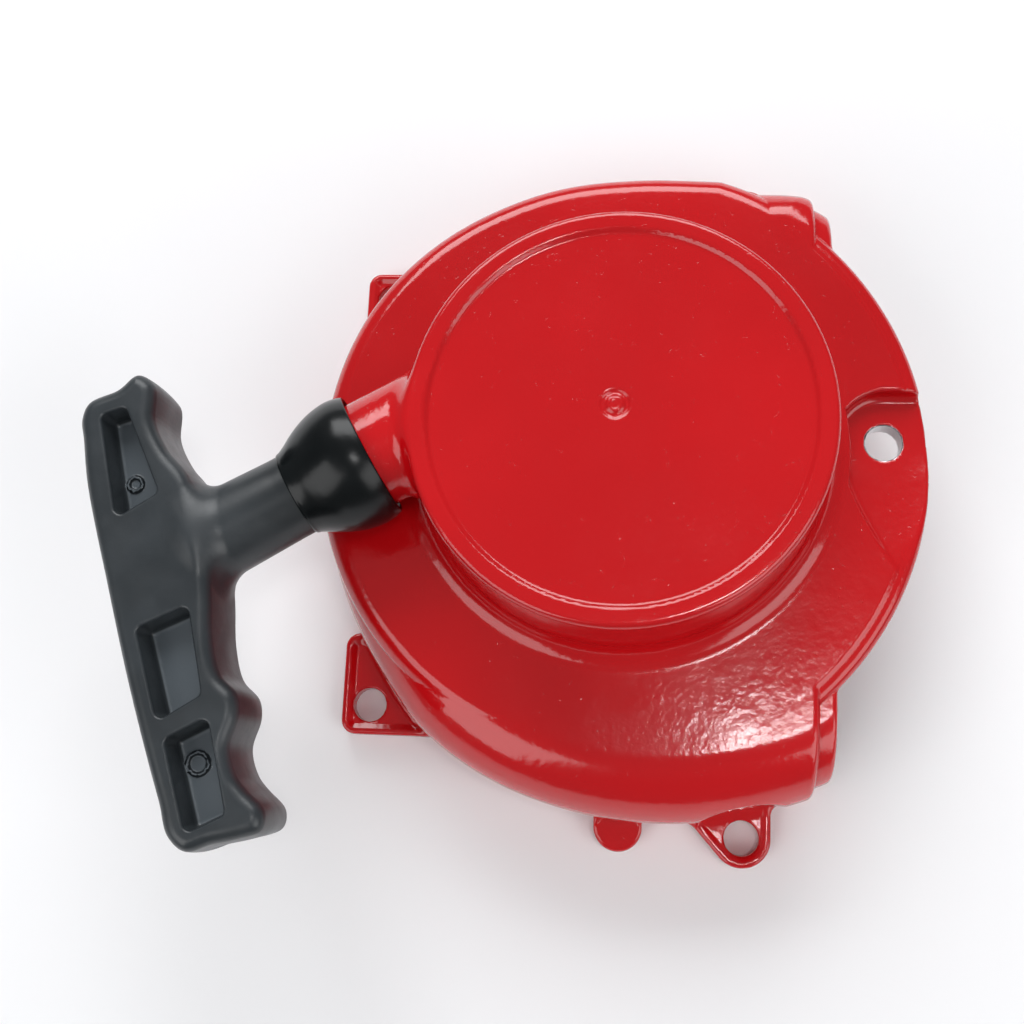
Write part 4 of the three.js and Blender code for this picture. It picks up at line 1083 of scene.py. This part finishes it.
for k, (side_angle, body) in enumerate(((0, "pawl_a"), (180, "pawl_b")), 1):
    pivot = Matrix.Rotation(side_angle * DEG, 4, "Z") @ Matrix.Translation((PAWL_RING, 0, 0))
    swing = pivot @ Matrix.Rotation(PAWL_REST_ANGLE * DEG, 4, "Z")
    field_object(f"drive_pawl_{k}", pawl_field, (-5.5, -5.5, 30.5), (15.5, 5.5, 40), 0.3, 30000, swing, body,
                 STEEL, (f"pawl_{k}",))
    pin_profile = [(0.02, 34), (3.4, 34), (3.4, 35.2), (2, 35.2), (2, 43.2), (0.02, 43.2)]
    lathe(f"pivot_pin_{k}", soften(pin_profile, 0.25), "rope_reel", STEEL, (f"pawl_pin_{k}",),
          pivot, 64)
    wire = [(3.0 * math.cos(a), 3.0 * math.sin(a), 40.02 + 0.45 * a / (2 * math.pi))
            for a in np.linspace(0, 2.9 * math.pi, 60)]
    cord_object(f"pawl_return_{k}", wire, 0.2, "rope_reel", SPRING, (f"pawl_spring_{k}",), sides=10,
                place=pivot)

field_object("pawl_cam", plate_field, (-27, -27, 31), (27, 27, 34), 0.4, 60000, IDENTITY, "cam",
             ZINC, ("cam_plate",))
field_object("post_screw", screw_field, (-6, -6, 24.4), (6, 6, 50), 0.28, 40000, IDENTITY, "cover",
             ZINC, ("centre_screw",))
lathe("hub_washer", ring(6.4, 10.8, 33.7, 34.6, 0.15), "rope_reel", BRONZE, ("thrust_washer",))
lathe("wave_washer", soften([(6.6, 30.5), (8.8, 30.3), (8.9, 31), (6.7, 31.3)], 0.15), "cover",
      SPRING, ("friction_spring",))
lathe("retaining_washer", ring(2.7, 9.6, 28.9, 30, 0.25), "cover", ZINC, ("screw_washer",))

# ---- stage and light ------------------------------------------------------------------------


def floor_material():
    n = Nodes("floor")
    n.set(Base_Color=n.mix(n.noise(3, 3.0), colour(0.86, 0.86, 0.87), colour(0.90, 0.90, 0.91)))
    n.set(Roughness=n.ramp(n.noise(12, 2.0), 0.3, 0.7, 0.7, 0.8))
    return n.material


floor_mesh = bpy.data.meshes.new("floor")
FLOOR_HALF, FLOOR_Z = 3, -0.0002
floor_corners = [(-FLOOR_HALF, -FLOOR_HALF), (FLOOR_HALF, -FLOOR_HALF), (FLOOR_HALF, FLOOR_HALF),
                 (-FLOOR_HALF, FLOOR_HALF)]
floor_mesh.from_pydata([(x, y, FLOOR_Z) for x, y in floor_corners], [], [(0, 1, 2, 3)])
floor = bpy.data.objects.new("floor", floor_mesh)
floor_mesh.materials.append(floor_material())
bpy.context.scene.collection.objects.link(floor)


LIT_POINT = (0, 0, 0.03)


def area_light(name, at, width, height, power, tint=(1, 1, 1)):
    data = bpy.data.lights.new(name, "AREA")
    data.shape = "RECTANGLE"
    data.size, data.size_y = width, height
    data.energy = power
    data.color = tint
    light = bpy.data.objects.new(name, data)
    direction = Vector(LIT_POINT) - Vector(at)
    light.matrix_world = Matrix.Translation(at) @ direction.to_track_quat("-Z", "Y").to_matrix().to_4x4()
    bpy.context.scene.collection.objects.link(light)


# the small windows give the row of highlights on the shoulder
area_light("overhead", (-0.15, 1.15, 0.95), 1.3, 0.8, 19.0, (0.98, 0.99, 1.0))
area_light("left_fill", (-0.80, -0.75, 0.95), 1.0, 1.0, 7.5)
area_light("right_fill", (0.95, -0.60, 0.85), 0.9, 0.9, 6.5)
for column in range(3):
    for row in range(2):
        at = (0.085 + column * 0.05, -0.03 - row * 0.045, 0.80)
        area_light(f"window_{column}_{row}", at, 0.03, 0.032, 0.12)

world = bpy.data.worlds.new("world")
world.use_nodes = True
nodes, links = world.node_tree.nodes, world.node_tree.links
height = nodes.new("ShaderNodeSeparateXYZ")
links.new(nodes.new("ShaderNodeTexCoord").outputs["Generated"], height.inputs[0])
sky = nodes.new("ShaderNodeMapRange")
sky.interpolation_type = "SMOOTHSTEP"
links.new(height.outputs["Z"], sky.inputs["Value"])
for socket, limit in (("From Min", 0.55), ("From Max", 0.98), ("To Min", 0.20), ("To Max", 0.26)):
    sky.inputs[socket].default_value = limit
background = nodes["Background"]
background.inputs["Color"].default_value = (0.95, 0.97, 1.0, 1.0)
links.new(sky.outputs["Result"], background.inputs["Strength"])
bpy.context.scene.world = world
bpy.context.scene.view_settings.view_transform = "Standard"
